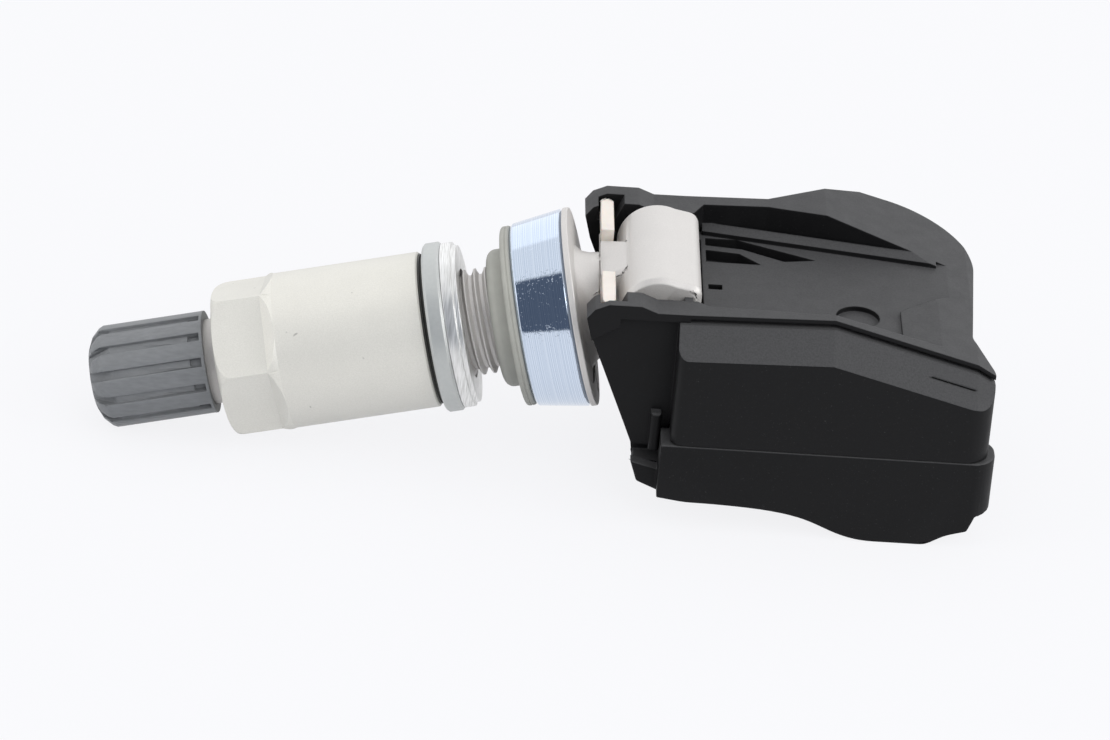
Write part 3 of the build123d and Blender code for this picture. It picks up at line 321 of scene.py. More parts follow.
# Valve stem
# One piece of aluminium, turned, milled and bored, then blasted and anodised. A fine thread for the
# nut and a valve thread for the cap are rolled on; the cross barrel turns on the ears' journals.

TILT = math.radians(13.8)
PIVOT = Vector((-0.0234, 0.0, 0.0191))
AXIS_BELOW = 2.0      # mm from the swivel down to the valve axis


def valve(along, side, up):
    """A place in millimetres along and about the valve axis, as a point in metres."""
    up -= AXIS_BELOW
    return PIVOT + Vector((along * math.cos(TILT) - up * math.sin(TILT), side,
                           along * math.sin(TILT) + up * math.cos(TILT))) / 1000


def spin(bm, outline, around=192):
    """Spin a closed outline of places and radii about the valve axis."""
    rings = [[bm.verts.new(valve(x, r * math.cos(turn), r * math.sin(turn))) for x, r in outline]
             for turn in (2 * math.pi * i / around for i in range(around))]
    for here, ahead in zip(rings, rings[1:] + rings[:1]):
        for j in range(len(outline)):
            bm.faces.new((here[j - 1], here[j], ahead[j], ahead[j - 1]))


def roll_thread(bm, start, end, pitch, root, crest, steps=60):
    """Lay one right hand thread ridge on a shaft, running out at both ends."""
    sunk = root - 0.08    # the ridge's foot lies inside the shaft
    form = [(-0.4, 0.0), (-0.09, 0.93), (-0.045, 1.0), (0.045, 1.0), (0.09, 0.93), (0.4, 0.0)]
    count = round((end - start) / pitch * steps)
    rings = []
    for k in range(count + 1):
        turn = 2 * math.pi * k / steps
        rise = min(1.0, k / steps + 0.02, (count - k) / steps + 0.02)
        rings.append([])
        for along, height in form:
            r = sunk + (crest - sunk) * height * rise
            x = start + pitch * (k / steps + along)
            rings[-1].append(bm.verts.new(valve(x, r * math.cos(turn), r * math.sin(turn))))
    for here, ahead in zip(rings, rings[1:]):
        for j in range(len(form)):
            bm.faces.new((here[j - 1], here[j], ahead[j], ahead[j - 1]))
    bm.faces.new(rings[0])
    bm.faces.new(rings[-1][::-1])


HEAD_CUT = -8.3       # mm along the valve axis; barrel, web and disc are kept up to here
SHAFT_ROOT = -8.1     # the turned shaft starts just inside what is kept
STEM_TIP = -51.6
BORE_R, SEAT_R, MOUTH_R = 1.3, 2.1, 2.7            # the bore widens in two steps for the core
SEAT_END, MOUTH_END = -34.1, -43.1
TIP_ROOT_R, TIP_CREST_R, TIP_PITCH = 3.62, 4.0, 0.794     # the valve thread that takes the cap
MAIN_ROOT_R, MAIN_CREST_R, MAIN_PITCH = 4.42, 5.0, 1.0    # the thread that takes the nut
TIP_THREAD_END, NECK_START = -46.0, -45.6                 # a plain neck lies between the threads
NECK_END, MAIN_THREAD_END = -33.0, -32.4
TIP_TURNS, MAIN_TURNS = (-51.3, -46.2), (-32.2, -9.0)     # where each ridge runs from and to

head = shaped_as("valve_stem")
bmesh.ops.bisect_plane(head, geom=head.verts[:] + head.edges[:] + head.faces[:], dist=1e-8,
                       plane_co=valve(HEAD_CUT, 0, 0), plane_no=valve(1, 0, 0) - valve(0, 0, 0),
                       clear_inner=True)
bmesh.ops.triangle_fill(head, use_beauty=True, edges=[e for e in head.edges if e.is_boundary])
bore = [(SHAFT_ROOT, BORE_R), (SEAT_END, BORE_R), (SEAT_END, SEAT_R), (MOUTH_END, SEAT_R),
        (MOUTH_END, MOUTH_R), (STEM_TIP, MOUTH_R)]
shaft = [(STEM_TIP, 3.35), (STEM_TIP + 0.5, TIP_ROOT_R), (TIP_THREAD_END, TIP_ROOT_R),
         (NECK_START, TIP_CREST_R), (NECK_END, TIP_CREST_R), (MAIN_THREAD_END, MAIN_ROOT_R),
         (SHAFT_ROOT, MAIN_ROOT_R)]
spin(head, bore + shaft)
roll_thread(head, *TIP_TURNS, TIP_PITCH, TIP_ROOT_R, TIP_CREST_R)
roll_thread(head, *MAIN_TURNS, MAIN_PITCH, MAIN_ROOT_R, MAIN_CREST_R)
stem = piece("stem_with_barrel", head, crease=28)
soften(stem, 0.12, sides=2)

BLAST = 0.11          # mm, pits of the blasting beads
PIT_DEPTH = 0.01      # mm
ETCH = 2.9            # mm, soft clouds left by the etching bath

# Aluminium, bead blasted and clear anodised: pale grey satin, even, with a grain of tiny pits.
stem_aluminium = finish("aluminium_blasted_anodised")
where = add(stem_aluminium, "ShaderNodeTexCoord").outputs["Object"]
pits = add(stem_aluminium, "ShaderNodeTexNoise", {"Vector": where, "Scale": 1000 / BLAST})
cloud = add(stem_aluminium, "ShaderNodeTexNoise", {"Vector": where, "Scale": 1000 / ETCH,
                                                   "Detail": 3.0})
tone = add(stem_aluminium, "ShaderNodeMix", {"Factor": cloud.outputs["Fac"], 6: linear("#cecbc8"),
                                             7: linear("#d9d6d3")}, data_type="RGBA")
tone = add(stem_aluminium, "ShaderNodeMix", {"Factor": pits.outputs["Fac"], 6: linear("#bebbb8"),
                                             7: tone.outputs[2]}, data_type="RGBA")
skin = add(stem_aluminium, "ShaderNodeMapRange", {"Value": pits.outputs["Fac"], "To Min": 0.42,
                                                  "To Max": 0.6})
relief = add(stem_aluminium, "ShaderNodeBump", {"Height": pits.outputs["Fac"], "Strength": 0.25,
                                                "Distance": PIT_DEPTH / 1000})
add(stem_aluminium, "Principled BSDF", {"Base Color": tone.outputs[2], "Metallic": 0.4,
                                        "Roughness": skin.outputs[0], "Normal": relief.outputs[0]})
fit(stem, stem_aluminium, "stem", "stem_aluminium", "valve_stem")


# Lock bar
# A small white acetal bar clipped through the stem's web. Its two arms lie in the ears' notches and
# hold the valve at its angle until it is clamped in the rim.

FLOW = 1.1            # mm, flow marks of a moulding

# Moulded acetal: warm white, waxy, softly lit from inside.
acetal = finish("acetal_white_moulded")
where = add(acetal, "ShaderNodeTexCoord").outputs["Object"]
flow = add(acetal, "ShaderNodeTexNoise", {"Vector": where, "Scale": 1000 / FLOW, "Detail": 3.0})
tone = add(acetal, "ShaderNodeMix", {"Factor": flow.outputs["Fac"], 6: linear("#d2cac2"),
                                     7: linear("#dcd5cd")}, data_type="RGBA")
add(acetal, "Principled BSDF", {"Base Color": tone.outputs[2], "Roughness": 0.4, "IOR": 1.48,
                                "Subsurface Weight": 0.15, "Subsurface Scale": 0.0005})
bar = piece("white_lock_bar", shaped_as("lock_bar"))
soften(bar, 0.12)
fit(bar, acetal, "stem", "white_plastic", "lock_bar")


# Support ring
# A turned and polished ring, plated bright, pushed over the thread against the stem's disc. It backs
# the rubber seal and is a little wider towards the disc.

def eased(corners, steps=6):
    """An outline whose corners, given as place, radius and rounding, are turned into small arcs."""
    outline = []
    for before, (x, r, ease), after in zip(corners[-1:] + corners, corners, corners[1:] + corners[:1]):
        here = Vector((x, r))
        back = (Vector(before[:2]) - here).normalized()
        ahead = (Vector(after[:2]) - here).normalized()
        half = back.angle(ahead) / 2
        centre = here + (back + ahead).normalized() * ease / math.sin(half)
        first = here + back * ease / math.tan(half) - centre
        sweep = -first.angle_signed(here + ahead * ease / math.tan(half) - centre)
        for k in range(steps + 1):
            outline.append(tuple(centre + Matrix.Rotation(sweep * k / steps, 2) @ first))
    return outline


def turned(name, corners, around=256):
    """A turned ring about the valve axis."""
    bm = bmesh.new()
    spin(bm, eased(corners), around)
    return piece(name, bm)


SNUG_R = 5.05         # mm, the bore of what sits tight on the thread
RING_FRONT, RING_BACK = -13.03, -8.02

ring = turned("bright_support_ring", [
    (RING_FRONT, SNUG_R, 0.1), (RING_FRONT, 8.4, 0.07), (RING_FRONT + 0.25, 8.65, 0.07),
    (RING_BACK - 0.25, 9.35, 0.1), (RING_BACK, 9.1, 0.07), (RING_BACK, SNUG_R, 0.1)])

TOOL_LINES = 0.09     # mm between the lines that the lathe tool left under the polish
LINE_DEPTH = 0.006    # mm
SPECKS = 0.22         # mm, tiny pits and dust in the plating, as coarse as they need to show
SPECK_DEPTH = 0.008   # mm

# Bright plated steel: a cool mirror with fine lathe lines that run round it, and a few dull specks.
ring_metal = finish("steel_bright_plated")
straight = add(ring_metal, "ShaderNodeVectorRotate",
               {"Vector": add(ring_metal, "ShaderNodeTexCoord").outputs["Object"], "Angle": TILT},
               rotation_type="Y_AXIS")
parts = add(ring_metal, "ShaderNodeSeparateXYZ", {0: straight.outputs[0]})
lines = add(ring_metal, "ShaderNodeTexNoise", {"W": parts.outputs[0], "Scale": 1000 / TOOL_LINES,
                                               "Detail": 2.0}, noise_dimensions="1D")
specks = add(ring_metal, "ShaderNodeTexNoise", {"Vector": straight.outputs[0],
                                                "Scale": 1000 / SPECKS, "Detail": 2.0})
specks = add(ring_metal, "ShaderNodeMapRange", {"Value": specks.outputs["Fac"], "From Min": 0.6,
                                                "From Max": 0.72})
streaks = add(ring_metal, "ShaderNodeMapRange", {"Value": lines.outputs["Fac"], "From Min": 0.35,
                                                 "From Max": 0.65})
tone = add(ring_metal, "ShaderNodeMix", {"Factor": streaks.outputs[0], 6: linear("#bccadd"),
                                         7: linear("#d8e2ef")}, data_type="RGBA")
relief = add(ring_metal, "ShaderNodeBump", {"Height": lines.outputs["Fac"], "Strength": 0.6,
                                            "Distance": LINE_DEPTH / 1000})
relief = add(ring_metal, "ShaderNodeBump", {"Height": specks.outputs[0], "Strength": 0.5,
                                            "Distance": SPECK_DEPTH / 1000,
                                            "Normal": relief.outputs[0]})
skin = add(ring_metal, "ShaderNodeMapRange", {"Value": specks.outputs[0], "To Min": 0.06,
                                              "To Max": 0.3})
add(ring_metal, "Principled BSDF", {"Base Color": tone.outputs[2], "Metallic": 1.0,
                                    "Roughness": skin.outputs[0], "Normal": relief.outputs[0]})
fit(ring, ring_metal, "stem", "polished_ring", "support_ring")


# Rubber seal
# A moulded rubber grommet on the thread. Its round nose centres it in the rim hole and its lip is
# squeezed between the rim and the support ring.

SEAL_BACK, LIP_FRONT, SEAL_NOSE = -13.05, -14.0, -15.7     # mm along the valve axis
LIP_R, NOSE_R = 8.5, 6.5
PARTING = -13.5       # a fine groove where the halves of the mould meet

seal = turned("rubber_grommet", [
    (SEAL_BACK, SNUG_R, 0.1), (SEAL_BACK, LIP_R, 0.3), (PARTING + 0.08, LIP_R, 0.05),
    (PARTING, LIP_R - 0.1, 0.05), (PARTING - 0.08, LIP_R, 0.05), (LIP_FRONT, LIP_R, 0.3),
    (LIP_FRONT, NOSE_R, 0.12), (SEAL_NOSE, NOSE_R, 0.85), (SEAL_NOSE, SNUG_R, 0.1)])

CHALK = 1.4           # mm, patches of chalk bloom

# Moulded rubber with chalk filler: warm grey, matt, with a bloom of paler dust.
seal_rubber = finish("rubber_moulded_grey")
where = add(seal_rubber, "ShaderNodeTexCoord").outputs["Object"]
top_light_and_chalk_bloom = add(seal_rubber, "ShaderNodeTexNoise", {"Vector": where, "Scale": 1000 / CHALK, "Detail": 4.0})
tone = add(seal_rubber, "ShaderNodeMix", {"Factor": top_light_and_chalk_bloom.outputs["Fac"], 6: linear("#94948d"),
                                          7: linear("#a5a59e")}, data_type="RGBA")
add(seal_rubber, "Principled BSDF", {"Base Color": tone.outputs[2], "Roughness": 0.6, "IOR": 1.5})
fit(seal, seal_rubber, "stem", "seal_rubber", "rubber_seal")


# Washer, flange and friction ring
# Outside the rim come a stepped steel washer, a grey flange and a thin dark ring that lets the nut
# turn on them. They are held on the nut and pushed along the thread by it.

LOOSE_R = 5.15        # mm, the bore of what slides over the thread
WASHER_IN, STEP, WASHER_OUT = -18.3, -18.75, -19.78      # mm along the valve axis
FLANGE_IN, FLANGE_OUT = -19.8, -21.48
GLIDE_IN, GLIDE_GROOVE, GLIDE_OUT = -21.5, -21.74, -21.98
STEP_R, WASHER_R, FLANGE_R, FLANGE_EDGE = 7.45, 7.8, 8.0, 0.25
GLIDE_R, GLIDE_GROOVE_R = 7.1, 6.9

washer = turned("stepped_washer", [
    (WASHER_IN, LOOSE_R, 0.08), (WASHER_IN, STEP_R, 0.08), (STEP, STEP_R, 0.05),
    (STEP, WASHER_R, 0.08), (WASHER_OUT, WASHER_R, 0.08), (WASHER_OUT, LOOSE_R, 0.08)])
flange = turned("grey_flange_ring", [
    (FLANGE_IN, LOOSE_R, 0.08), (FLANGE_IN, FLANGE_R - FLANGE_EDGE, 0.1),
    (FLANGE_IN - FLANGE_EDGE, FLANGE_R, 0.1), (FLANGE_OUT + FLANGE_EDGE, FLANGE_R, 0.1),
    (FLANGE_OUT, FLANGE_R - FLANGE_EDGE, 0.1), (FLANGE_OUT, LOOSE_R, 0.08)])
glide = turned("dark_friction_ring", [
    (GLIDE_IN, LOOSE_R, 0.04), (GLIDE_IN, GLIDE_R, 0.05), (GLIDE_GROOVE + 0.08, GLIDE_R, 0.04),
    (GLIDE_GROOVE + 0.04, GLIDE_GROOVE_R, 0.02), (GLIDE_GROOVE - 0.04, GLIDE_GROOVE_R, 0.02),
    (GLIDE_GROOVE - 0.08, GLIDE_R, 0.04), (GLIDE_OUT, GLIDE_R, 0.05), (GLIDE_OUT, LOOSE_R, 0.04)])

FEED, SWEPT = 0.11, 2.0      # mm between lathe lines, and how long one runs
FEED_DEPTH = 0.008           # mm

# Stainless washer, turned and left bright: a soft mirror broken by lathe lines.
washer_steel = finish("stainless_steel_turned")
lines = add(washer_steel, "ShaderNodeTexNoise",
            {"Vector": add(washer_steel, "ShaderNodeMapping",
                           {"Vector": add(washer_steel, "ShaderNodeTexCoord").outputs["Object"],
                            "Rotation": (0.0, TILT, 0.0),
                            "Scale": (1000 / FEED, 1000 / SWEPT, 1000 / SWEPT)}).outputs[0],
             "Scale": 1.0, "Detail": 3.0})
relief = add(washer_steel, "ShaderNodeBump", {"Height": lines.outputs["Fac"], "Strength": 0.7,
                                              "Distance": FEED_DEPTH / 1000})
skin = add(washer_steel, "ShaderNodeMapRange", {"Value": lines.outputs["Fac"], "To Min": 0.28,
                                                "To Max": 0.5})
tone = add(washer_steel, "ShaderNodeMix", {"Factor": add(
    washer_steel, "ShaderNodeMapRange", {"Value": lines.outputs["Fac"], "From Min": 0.35,
                                         "From Max": 0.65}).outputs[0],
    6: linear("#cfcfcd"), 7: linear("#efefee")}, data_type="RGBA")
add(washer_steel, "Principled BSDF", {"Base Color": tone.outputs[2], "Metallic": 0.85,
                                      "Roughness": skin.outputs[0], "Normal": relief.outputs[0]})
fit(washer, washer_steel, "washers", "polished_washer", "clamp_washer")

SATIN = 0.4           # mm, patches of the anodising

# Aluminium, turned and grey anodised: cool satin with lines too fine to see one by one.
flange_metal = finish("aluminium_grey_anodised")
where = add(flange_metal, "ShaderNodeTexCoord").outputs["Object"]
cloud = add(flange_metal, "ShaderNodeTexNoise", {"Vector": where, "Scale": 1000 / SATIN, "Detail": 3.0})
tone = add(flange_metal, "ShaderNodeMix", {"Factor": cloud.outputs["Fac"], 6: linear("#b4b7b6"),
                                           7: linear("#c0c2c0")}, data_type="RGBA")
add(flange_metal, "Principled BSDF", {"Base Color": tone.outputs[2], "Metallic": 0.6,
                                      "Roughness": 0.45})
fit(flange, flange_metal, "washers", "grey_flange", "flange_ring")

FILLER = 0.25         # mm, specks of the filler

# Dark filled polymer: matt, nearly black, a little brown.
dark_polymer = finish("polymer_dark_filled")
where = add(dark_polymer, "ShaderNodeTexCoord").outputs["Object"]
specks = add(dark_polymer, "ShaderNodeTexNoise", {"Vector": where, "Scale": 1000 / FILLER})
tone = add(dark_polymer, "ShaderNodeMix", {"Factor": specks.outputs["Fac"], 6: linear("#2a2a27"),
                                           7: linear("#3a3a36")}, data_type="RGBA")
add(dark_polymer, "Principled BSDF", {"Base Color": tone.outputs[2], "Roughness": 0.5, "IOR": 1.5})
fit(glide, dark_polymer, "washers", "dark_polymer", "friction_ring")


# Collar nut
# A long aluminium nut, turned round with a rounded end, then milled with six flats that run out in
# sloped crescents. Blasted and anodised like the stem, in a warmer tone.

NUT_FACE, NUT_END = -22.0, -41.8             # mm along the valve axis
BODY_R, COLLAR_R, FLAT_R = 7.35, 7.5, 6.5
FLATS_END = NUT_END + 4.9
RUNOUT = 1.1          # how far the cutter climbs out behind a flat
END_ROUND = 1.4
EDGE = 0.15           # the bevel at the inner face
THREADED_R, THREADED_END = 5.15, -36.0       # the bore over the thread, and where it narrows
NECK_R = 4.15         # the bore over the stem's neck
FIRST_FLAT = 15       # degrees from upright


def nut_round(x):
    """Radius of the turned blank at a place along the nut."""
    if x < NUT_END + END_ROUND:
        return COLLAR_R - END_ROUND + math.sqrt(max(END_ROUND ** 2 - (NUT_END + END_ROUND - x) ** 2, 0))
    if x < FLATS_END + RUNOUT / 2:
        return COLLAR_R
    if x < FLATS_END + RUNOUT:
        return COLLAR_R - (COLLAR_R - BODY_R) * (x - FLATS_END - RUNOUT / 2) / (RUNOUT / 2)
    return BODY_R


def nut_flat(x, across):
    """Radius at which the cutter passes, so many degrees from the middle of a flat."""
    rise = max(0.0, x - FLATS_END) * (BODY_R - FLAT_R) / RUNOUT
    return (FLAT_R + rise) / math.cos(math.radians(across))


def crossing(low, high, across):
    """Where the cutter's path leaves the blank between two places."""
    deeper = nut_flat(low, across) < nut_round(low)
    for _ in range(40):
        middle = (low + high) / 2
        if (nut_flat(middle, across) < nut_round(middle)) == deeper:
            low = middle
        else:
            high = middle
    return low


bm = bmesh.new()
rings = []
for degree in range(360):
    across = (degree - 90 - FIRST_FLAT + 30) % 60 - 30
    enter = crossing(NUT_END, NUT_END + END_ROUND, across)
    leave = crossing(NUT_END + END_ROUND, FLATS_END + RUNOUT + 0.01, across)
    stops = [NUT_END + (enter - NUT_END) * k / 8 for k in range(9)]
    outline = [(x, nut_round(x)) for x in stops]
    knee = min(FLATS_END, leave)
    outline += [(enter + (knee - enter) * k / 3, nut_flat(enter + (knee - enter) * k / 3, across))
                for k in (1, 2, 3)]
    outline += [(leave, nut_round(leave))]
    tail = max(leave, FLATS_END + RUNOUT)
    outline += [(leave + (tail - leave) * k / 3, nut_round(leave + (tail - leave) * k / 3))
                for k in (1, 2, 3)]
    outline += [(NUT_FACE - EDGE, BODY_R), (NUT_FACE, BODY_R - EDGE), (NUT_FACE, THREADED_R + 0.2),
                (NUT_FACE - 0.2, THREADED_R), (THREADED_END, THREADED_R), (THREADED_END, NECK_R),
                (NUT_END + 0.3, NECK_R), (NUT_END, NECK_R + 0.3)]
    turn = math.radians(degree)
    rings.append([bm.verts.new(valve(x, -r * math.cos(turn), r * math.sin(turn))) for x, r in outline])
for here, ahead in zip(rings, rings[1:] + rings[:1]):
    for j in range(len(here)):
        bm.faces.new((here[j - 1], here[j], ahead[j], ahead[j - 1]))
bmesh.ops.remove_doubles(bm, verts=bm.verts, dist=2e-6)
nut = piece("collar_nut_six_flats", bm, crease=14)

NICK = 2 / 3          # mm, small knocks from handling

# Aluminium, finely blasted and anodised: warm light grey, satin, with a nick here and there.
nut_aluminium = finish("aluminium_fine_blasted_warm")
where = add(nut_aluminium, "ShaderNodeTexCoord").outputs["Object"]
pits = add(nut_aluminium, "ShaderNodeTexNoise", {"Vector": where, "Scale": 1000 / BLAST})
cloud = add(nut_aluminium, "ShaderNodeTexNoise", {"Vector": where, "Scale": 1000 / ETCH, "Detail": 3.0})
tone = add(nut_aluminium, "ShaderNodeMix", {"Factor": cloud.outputs["Fac"], 6: linear("#dad8d1"),
                                            7: linear("#e6e4dd")}, data_type="RGBA")
tone = add(nut_aluminium, "ShaderNodeMix", {"Factor": pits.outputs["Fac"], 6: linear("#cac8c0"),
                                            7: tone.outputs[2]}, data_type="RGBA")
nicks = add(nut_aluminium, "ShaderNodeTexNoise", {"Vector": where, "Scale": 1000 / NICK, "Detail": 0.0})
nicks = add(nut_aluminium, "ShaderNodeMapRange", {"Value": nicks.outputs["Fac"], "From Min": 0.86,
                                                  "From Max": 0.9})
tone = add(nut_aluminium, "ShaderNodeMix", {"Factor": nicks.outputs[0], 6: tone.outputs[2],
                                            7: linear("#a9a7a1")}, data_type="RGBA")
skin = add(nut_aluminium, "ShaderNodeMapRange", {"Value": pits.outputs["Fac"], "To Min": 0.4,
                                                 "To Max": 0.56})
relief = add(nut_aluminium, "ShaderNodeBump", {"Height": pits.outputs["Fac"], "Strength": 0.25,
                                               "Distance": PIT_DEPTH / 1000})
add(nut_aluminium, "Principled BSDF", {"Base Color": tone.outputs[2], "Metallic": 0.3,
                                       "Roughness": skin.outputs[0], "Normal": relief.outputs[0]})
fit(nut, nut_aluminium, "nut", "nut_aluminium", "collar_nut")


# Valve core
# The brass core screws into the stem's mouth: a slotted head with a slim neck, a sealing collar, and
# a sprung pin whose rubber seat closes the foot. It is bought in as one unit.

# Free cutting brass, turned: yellow, fairly bright, with lathe lines that run round it.
core_brass = finish("brass_turned")
lines = add(core_brass, "ShaderNodeTexNoise",
            {"Vector": add(core_brass, "ShaderNodeMapping",
                           {"Vector": add(core_brass, "ShaderNodeTexCoord").outputs["Object"],
                            "Rotation": (0.0, TILT, 0.0),
                            "Scale": (1000 / FEED, 1000 / SWEPT, 1000 / SWEPT)}).outputs[0],
             "Scale": 1.0})
add(core_brass, "Principled BSDF", {
    "Base Color": linear("#d2b36b"), "Metallic": 1.0,
    "Roughness": add(core_brass, "ShaderNodeMapRange", {"Value": lines.outputs["Fac"], "To Min": 0.2,
                                                        "To Max": 0.38}).outputs[0]})
dress(core_brass, "core_barrel", "core_pin")

# Sealing collar of fluorinated polymer: white and waxy.
core_polymer = finish("fluoropolymer_white")
flow = add(core_polymer, "ShaderNodeTexNoise",
           {"Vector": add(core_polymer, "ShaderNodeTexCoord").outputs["Object"], "Scale": 1000 / FLOW})
add(core_polymer, "Principled BSDF", {
    "Base Color": add(core_polymer, "ShaderNodeMix", {"Factor": flow.outputs["Fac"],
                                                      6: linear("#dcdad3"), 7: linear("#ebe9e3")},
                      data_type="RGBA").outputs[2],
    "Roughness": 0.45, "IOR": 1.35})
dress(core_polymer, "core_gasket")

DRAW_LINES = 0.17     # mm between draw lines

# Drawn spring wire: bright grey steel with a trace of draw lines.
spring_steel = finish("spring_wire_drawn")
drawn = add(spring_steel, "ShaderNodeTexNoise",
            {"Vector": add(spring_steel, "ShaderNodeTexCoord").outputs["Object"],
             "Scale": 1000 / DRAW_LINES})
add(spring_steel, "Principled BSDF", {
    "Base Color": linear("#b3b3b1"), "Metallic": 1.0,
    "Roughness": add(spring_steel, "ShaderNodeMapRange", {"Value": drawn.outputs["Fac"], "To Min": 0.2,
                                                          "To Max": 0.36}).outputs[0]})
SPRING_FOOT = -44.35      # mm along the valve axis, where the spring stands in the core

spring = piece("core_spring_wire", shaped_as("core_spring"), crease=60)
fit(spring, spring_steel, "stem", "spring_steel", "core_spring")
valve(1, 0, 0) - valve(0, 0, 0)
valve(SPRING_FOOT, 0, 0)
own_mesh(spring)

# Nitrile rubber of the small seals: black, matt, slightly dusty.
gasket_rubber = finish("nitrile_rubber_black")
dust = add(gasket_rubber, "ShaderNodeTexNoise",
           {"Vector": add(gasket_rubber, "ShaderNodeTexCoord").outputs["Object"], "Scale": 1000 / DUST})
add(gasket_rubber, "Principled BSDF", {
    "Base Color": add(gasket_rubber, "ShaderNodeMix", {"Factor": dust.outputs["Fac"],
                                                       6: linear("#191919"), 7: linear("#262626")},
                      data_type="RGBA").outputs[2],
    "Roughness": 0.62, "IOR": 1.52})
dress(gasket_rubber, "core_seal", "cap_gasket")


# Valve cap
# A moulded cap screwed on the tip over a soft gasket. Twelve broad ribs give grip; every groove ends
# in a facet at the closed end and in a small pocket by the rim.

# Moulded polypropylene with talc: dark blue grey, low sheen, flow marks along the ribs.
cap_plastic = finish("polypropylene_dark_grey")
where = add(cap_plastic, "ShaderNodeTexCoord").outputs["Object"]
along = add(cap_plastic, "ShaderNodeMapping", {"Vector": where, "Rotation": (0.0, TILT, 0.0),
                                               "Scale": (1000 / FLOW, 4000 / FLOW, 4000 / FLOW)})
flow = add(cap_plastic, "ShaderNodeTexNoise", {"Vector": along.outputs[0], "Scale": 1.0, "Detail": 3.0})
grain = add(cap_plastic, "ShaderNodeTexNoise", {"Vector": where, "Scale": 1000 / MOULD_GRAIN})
tone = add(cap_plastic, "ShaderNodeMix", {"Factor": flow.outputs["Fac"], 6: linear("#646668"),
                                          7: linear("#7c7e80")}, data_type="RGBA")
relief = add(cap_plastic, "ShaderNodeBump", {"Height": grain.outputs["Fac"], "Strength": 0.3,
                                             "Distance": GRAIN_DEPTH / 1000})
add(cap_plastic, "Principled BSDF", {"Base Color": tone.outputs[2], "Roughness": 0.46, "IOR": 1.49,
                                     "Normal": relief.outputs[0]})
cap = piece("ribbed_cap", shaped_as("valve_cap"))
soften(cap, 0.07, sides=2)
fit(cap, cap_plastic, "cap", "cap_plastic", "valve_cap")


# Floor
# The sensor lies on a plain white photographer's table. The white is the table's own colour; seen
# by the camera, in metal or through plastic it is lifted to white, and keeps a soft shadow.

TABLE_SIZE, TABLE_BELOW = 4.0, 0.00005     # m across, and how far its face lies under the sensor
LIFT = 0.87           # the share of plain white in what is seen; the rest keeps the shadow

bpy.ops.mesh.primitive_plane_add(size=TABLE_SIZE, location=(0.0, 0.0, -TABLE_BELOW))
table = bpy.context.object
table.name = "white_table"
white_paint = finish("white_table_matt")
seen = add(white_paint, "ShaderNodeLightPath")
direct = add(white_paint, "ShaderNodeMath", {0: seen.outputs["Is Camera Ray"],
                                             1: seen.outputs["Is Glossy Ray"]}, operation="MAXIMUM")
direct = add(white_paint, "ShaderNodeMath", {0: direct.outputs[0],
                                             1: seen.outputs["Is Transmission Ray"]},
             operation="MAXIMUM")
share = add(white_paint, "ShaderNodeMath", {0: direct.outputs[0], 1: LIFT}, operation="MULTIPLY")
paint = add(white_paint, "Principled BSDF", {"Base Color": linear("#c6c8cd"), "Roughness": 0.8})
lifted = add(white_paint, "ShaderNodeEmission", {"Color": linear("#fdfdff"), "Strength": 1.0})
add(white_paint, "Material Output", {"Surface": add(
    white_paint, "ShaderNodeMixShader", {"Fac": share.outputs[0], 1: paint.outputs[0],
                                         2: lifted.outputs[0]}).outputs[0]})
table.data.materials.append(white_paint)


# Light
# A white studio, brighter overhead. The photographer's side of the room is dark, which shows only in
# the metals; the camera sees plain white behind the sensor.

DARK_FROM, DARK_TO = math.radians(-2), math.radians(71)    # the dark side's height above the table
DARK_HALF = 0.72                                           # half its width, as a share of the way out
REAR_FROM = math.radians(126)                              # the lit rear wall starts past overhead
LOW_BLUR, HIGH_BLUR, SIDE_BLUR = 0.02, 0.05, 0.1           # how softly each of these edges starts
FROM_BELOW, FROM_ABOVE = 0.42, 1.35                        # how much the walls light the sensor
REAR_WALL = 1.3                                            # how bright metals see the rear wall

studio = bpy.data.worlds.new("studio")
studio.use_nodes = True
bpy.context.scene.world = studio
way = add(studio, "ShaderNodeSeparateXYZ", {0: add(studio, "ShaderNodeTexCoord").outputs["Generated"]})
ahead = add(studio, "ShaderNodeMath", {0: way.outputs[1], 1: -1.0}, operation="MULTIPLY")
height = add(studio, "ShaderNodeMath", {0: way.outputs[2], 1: ahead.outputs[0]}, operation="ARCTAN2")
aside = add(studio, "ShaderNodeMath", {0: way.outputs[0]}, operation="ABSOLUTE")
above, below, beside, behind = [
    add(studio, "ShaderNodeMapRange", {"Value": value.outputs[0], "From Min": start, "From Max": end},
        interpolation_type="SMOOTHSTEP")
    for value, start, end in ((height, DARK_FROM - LOW_BLUR, DARK_FROM + LOW_BLUR),
                              (height, DARK_TO + HIGH_BLUR, DARK_TO - HIGH_BLUR),
                              (aside, DARK_HALF + SIDE_BLUR, DARK_HALF - SIDE_BLUR),
                              (height, REAR_FROM - HIGH_BLUR, REAR_FROM + HIGH_BLUR))]
dark = add(studio, "ShaderNodeMath", {0: above.outputs[0], 1: below.outputs[0]}, operation="MULTIPLY")
dark = add(studio, "ShaderNodeMath", {0: dark.outputs[0], 1: beside.outputs[0]}, operation="MULTIPLY")
walls = add(studio, "ShaderNodeMapRange", {"Value": behind.outputs[0], "To Min": 1.0,
                                           "To Max": REAR_WALL})
overhead = add(studio, "ShaderNodeMapRange", {"Value": way.outputs[2], "To Min": FROM_BELOW,
                                              "To Max": FROM_ABOVE})
seen = add(studio, "ShaderNodeLightPath")
mirrored = add(studio, "ShaderNodeMath", {0: seen.outputs["Is Glossy Ray"],
                                          1: seen.outputs["Is Transmission Ray"]},
               operation="MAXIMUM")
level = add(studio, "ShaderNodeMix", {"Factor": mirrored.outputs[0], 2: overhead.outputs[0],
                                      3: walls.outputs[0]})
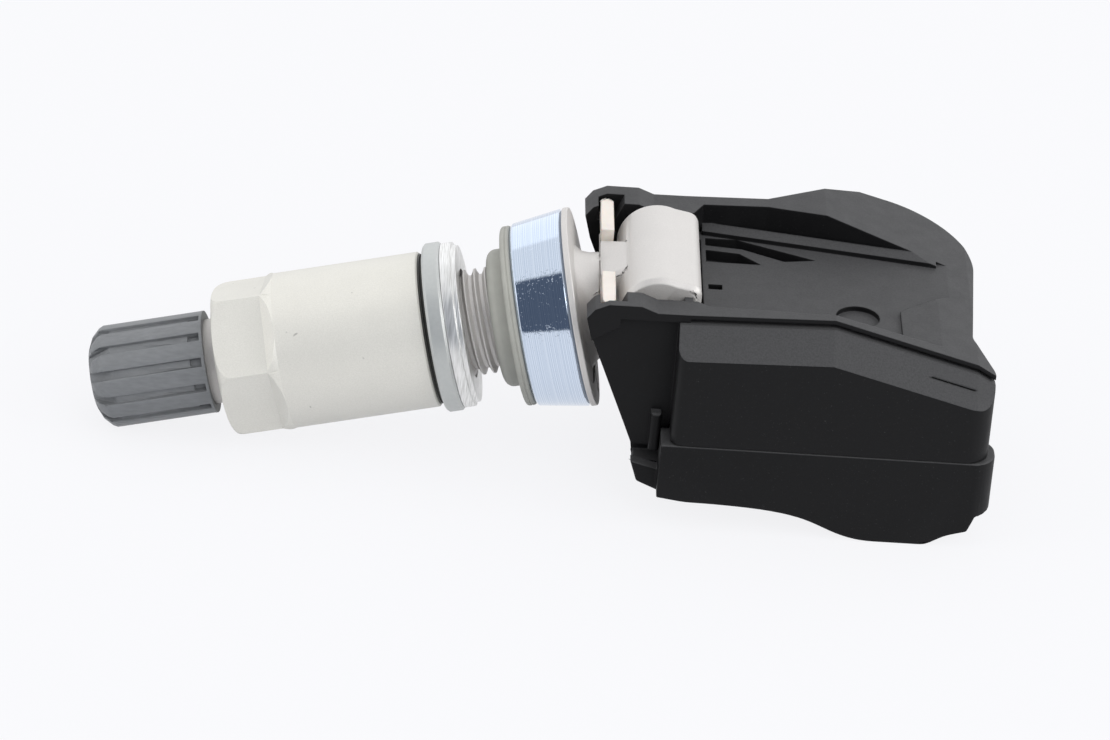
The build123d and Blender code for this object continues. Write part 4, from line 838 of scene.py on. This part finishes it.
level = add(studio, "ShaderNodeMix", {"Factor": seen.outputs["Is Camera Ray"], 2: level.outputs[0],
                                      3: 1.0})
dark = add(studio, "ShaderNodeMath", {0: dark.outputs[0], 1: mirrored.outputs[0]},
           operation="MULTIPLY")
room = add(studio, "ShaderNodeMix", {"Factor": dark.outputs[0], 6: linear("#fcfdff"),
                                     7: linear("#5a6474")}, data_type="RGBA")
add(studio, "Background", {"Color": room.outputs[2], "Strength": level.outputs[0]})

SOFT_BOX = 0.6        # m across

for name, place, watts in (("soft_box_left", (-1.0, -0.3, 0.45), 2.0),
                           ("soft_box_right", (1.0, -0.3, 0.45), 5.5),
                           ("soft_box_front", (0.35, -0.75, 0.75), 2.8)):
    lamp = bpy.data.lights.new(name, "AREA")
    lamp.shape = "SQUARE"
    lamp.size = SOFT_BOX
    lamp.energy = watts
    box = bpy.data.objects.new(name, lamp)
    box.location = place
    box.rotation_euler = Vector(place).to_track_quat("Z", "Y").to_euler()
    box.visible_camera = False
    bpy.context.scene.collection.objects.link(box)
bpy.context.scene.view_settings.view_transform = "Standard"


# Camera
# It looks down on the sensor from the front at the photograph's angle, with a long lens and a
# slight roll.

CAMERA_TURN, CAMERA_RISE, CAMERA_ROLL = math.radians(-2.637), math.radians(29.933), math.radians(4.876)
CAMERA_PLACE = (-0.05483, -0.49002, 0.29074)    # m
FOCAL, FRAME_W = 194.6, 36.0                    # mm

towards = Vector((math.sin(CAMERA_TURN) * math.cos(CAMERA_RISE),
                  -math.cos(CAMERA_TURN) * math.cos(CAMERA_RISE), math.sin(CAMERA_RISE)))
level = Vector((math.cos(CAMERA_TURN), math.sin(CAMERA_TURN), 0.0))
right = Matrix.Rotation(CAMERA_ROLL, 3, towards) @ level
lens = bpy.data.cameras.new("camera")
lens.lens = FOCAL
lens.sensor_width = FRAME_W
camera = bpy.data.objects.new("camera", lens)
camera.matrix_world = Matrix.Translation(CAMERA_PLACE) @ Matrix(
    (right, towards.cross(right), towards)).transposed().to_4x4()
bpy.context.scene.collection.objects.link(camera)
bpy.context.scene.camera = camera
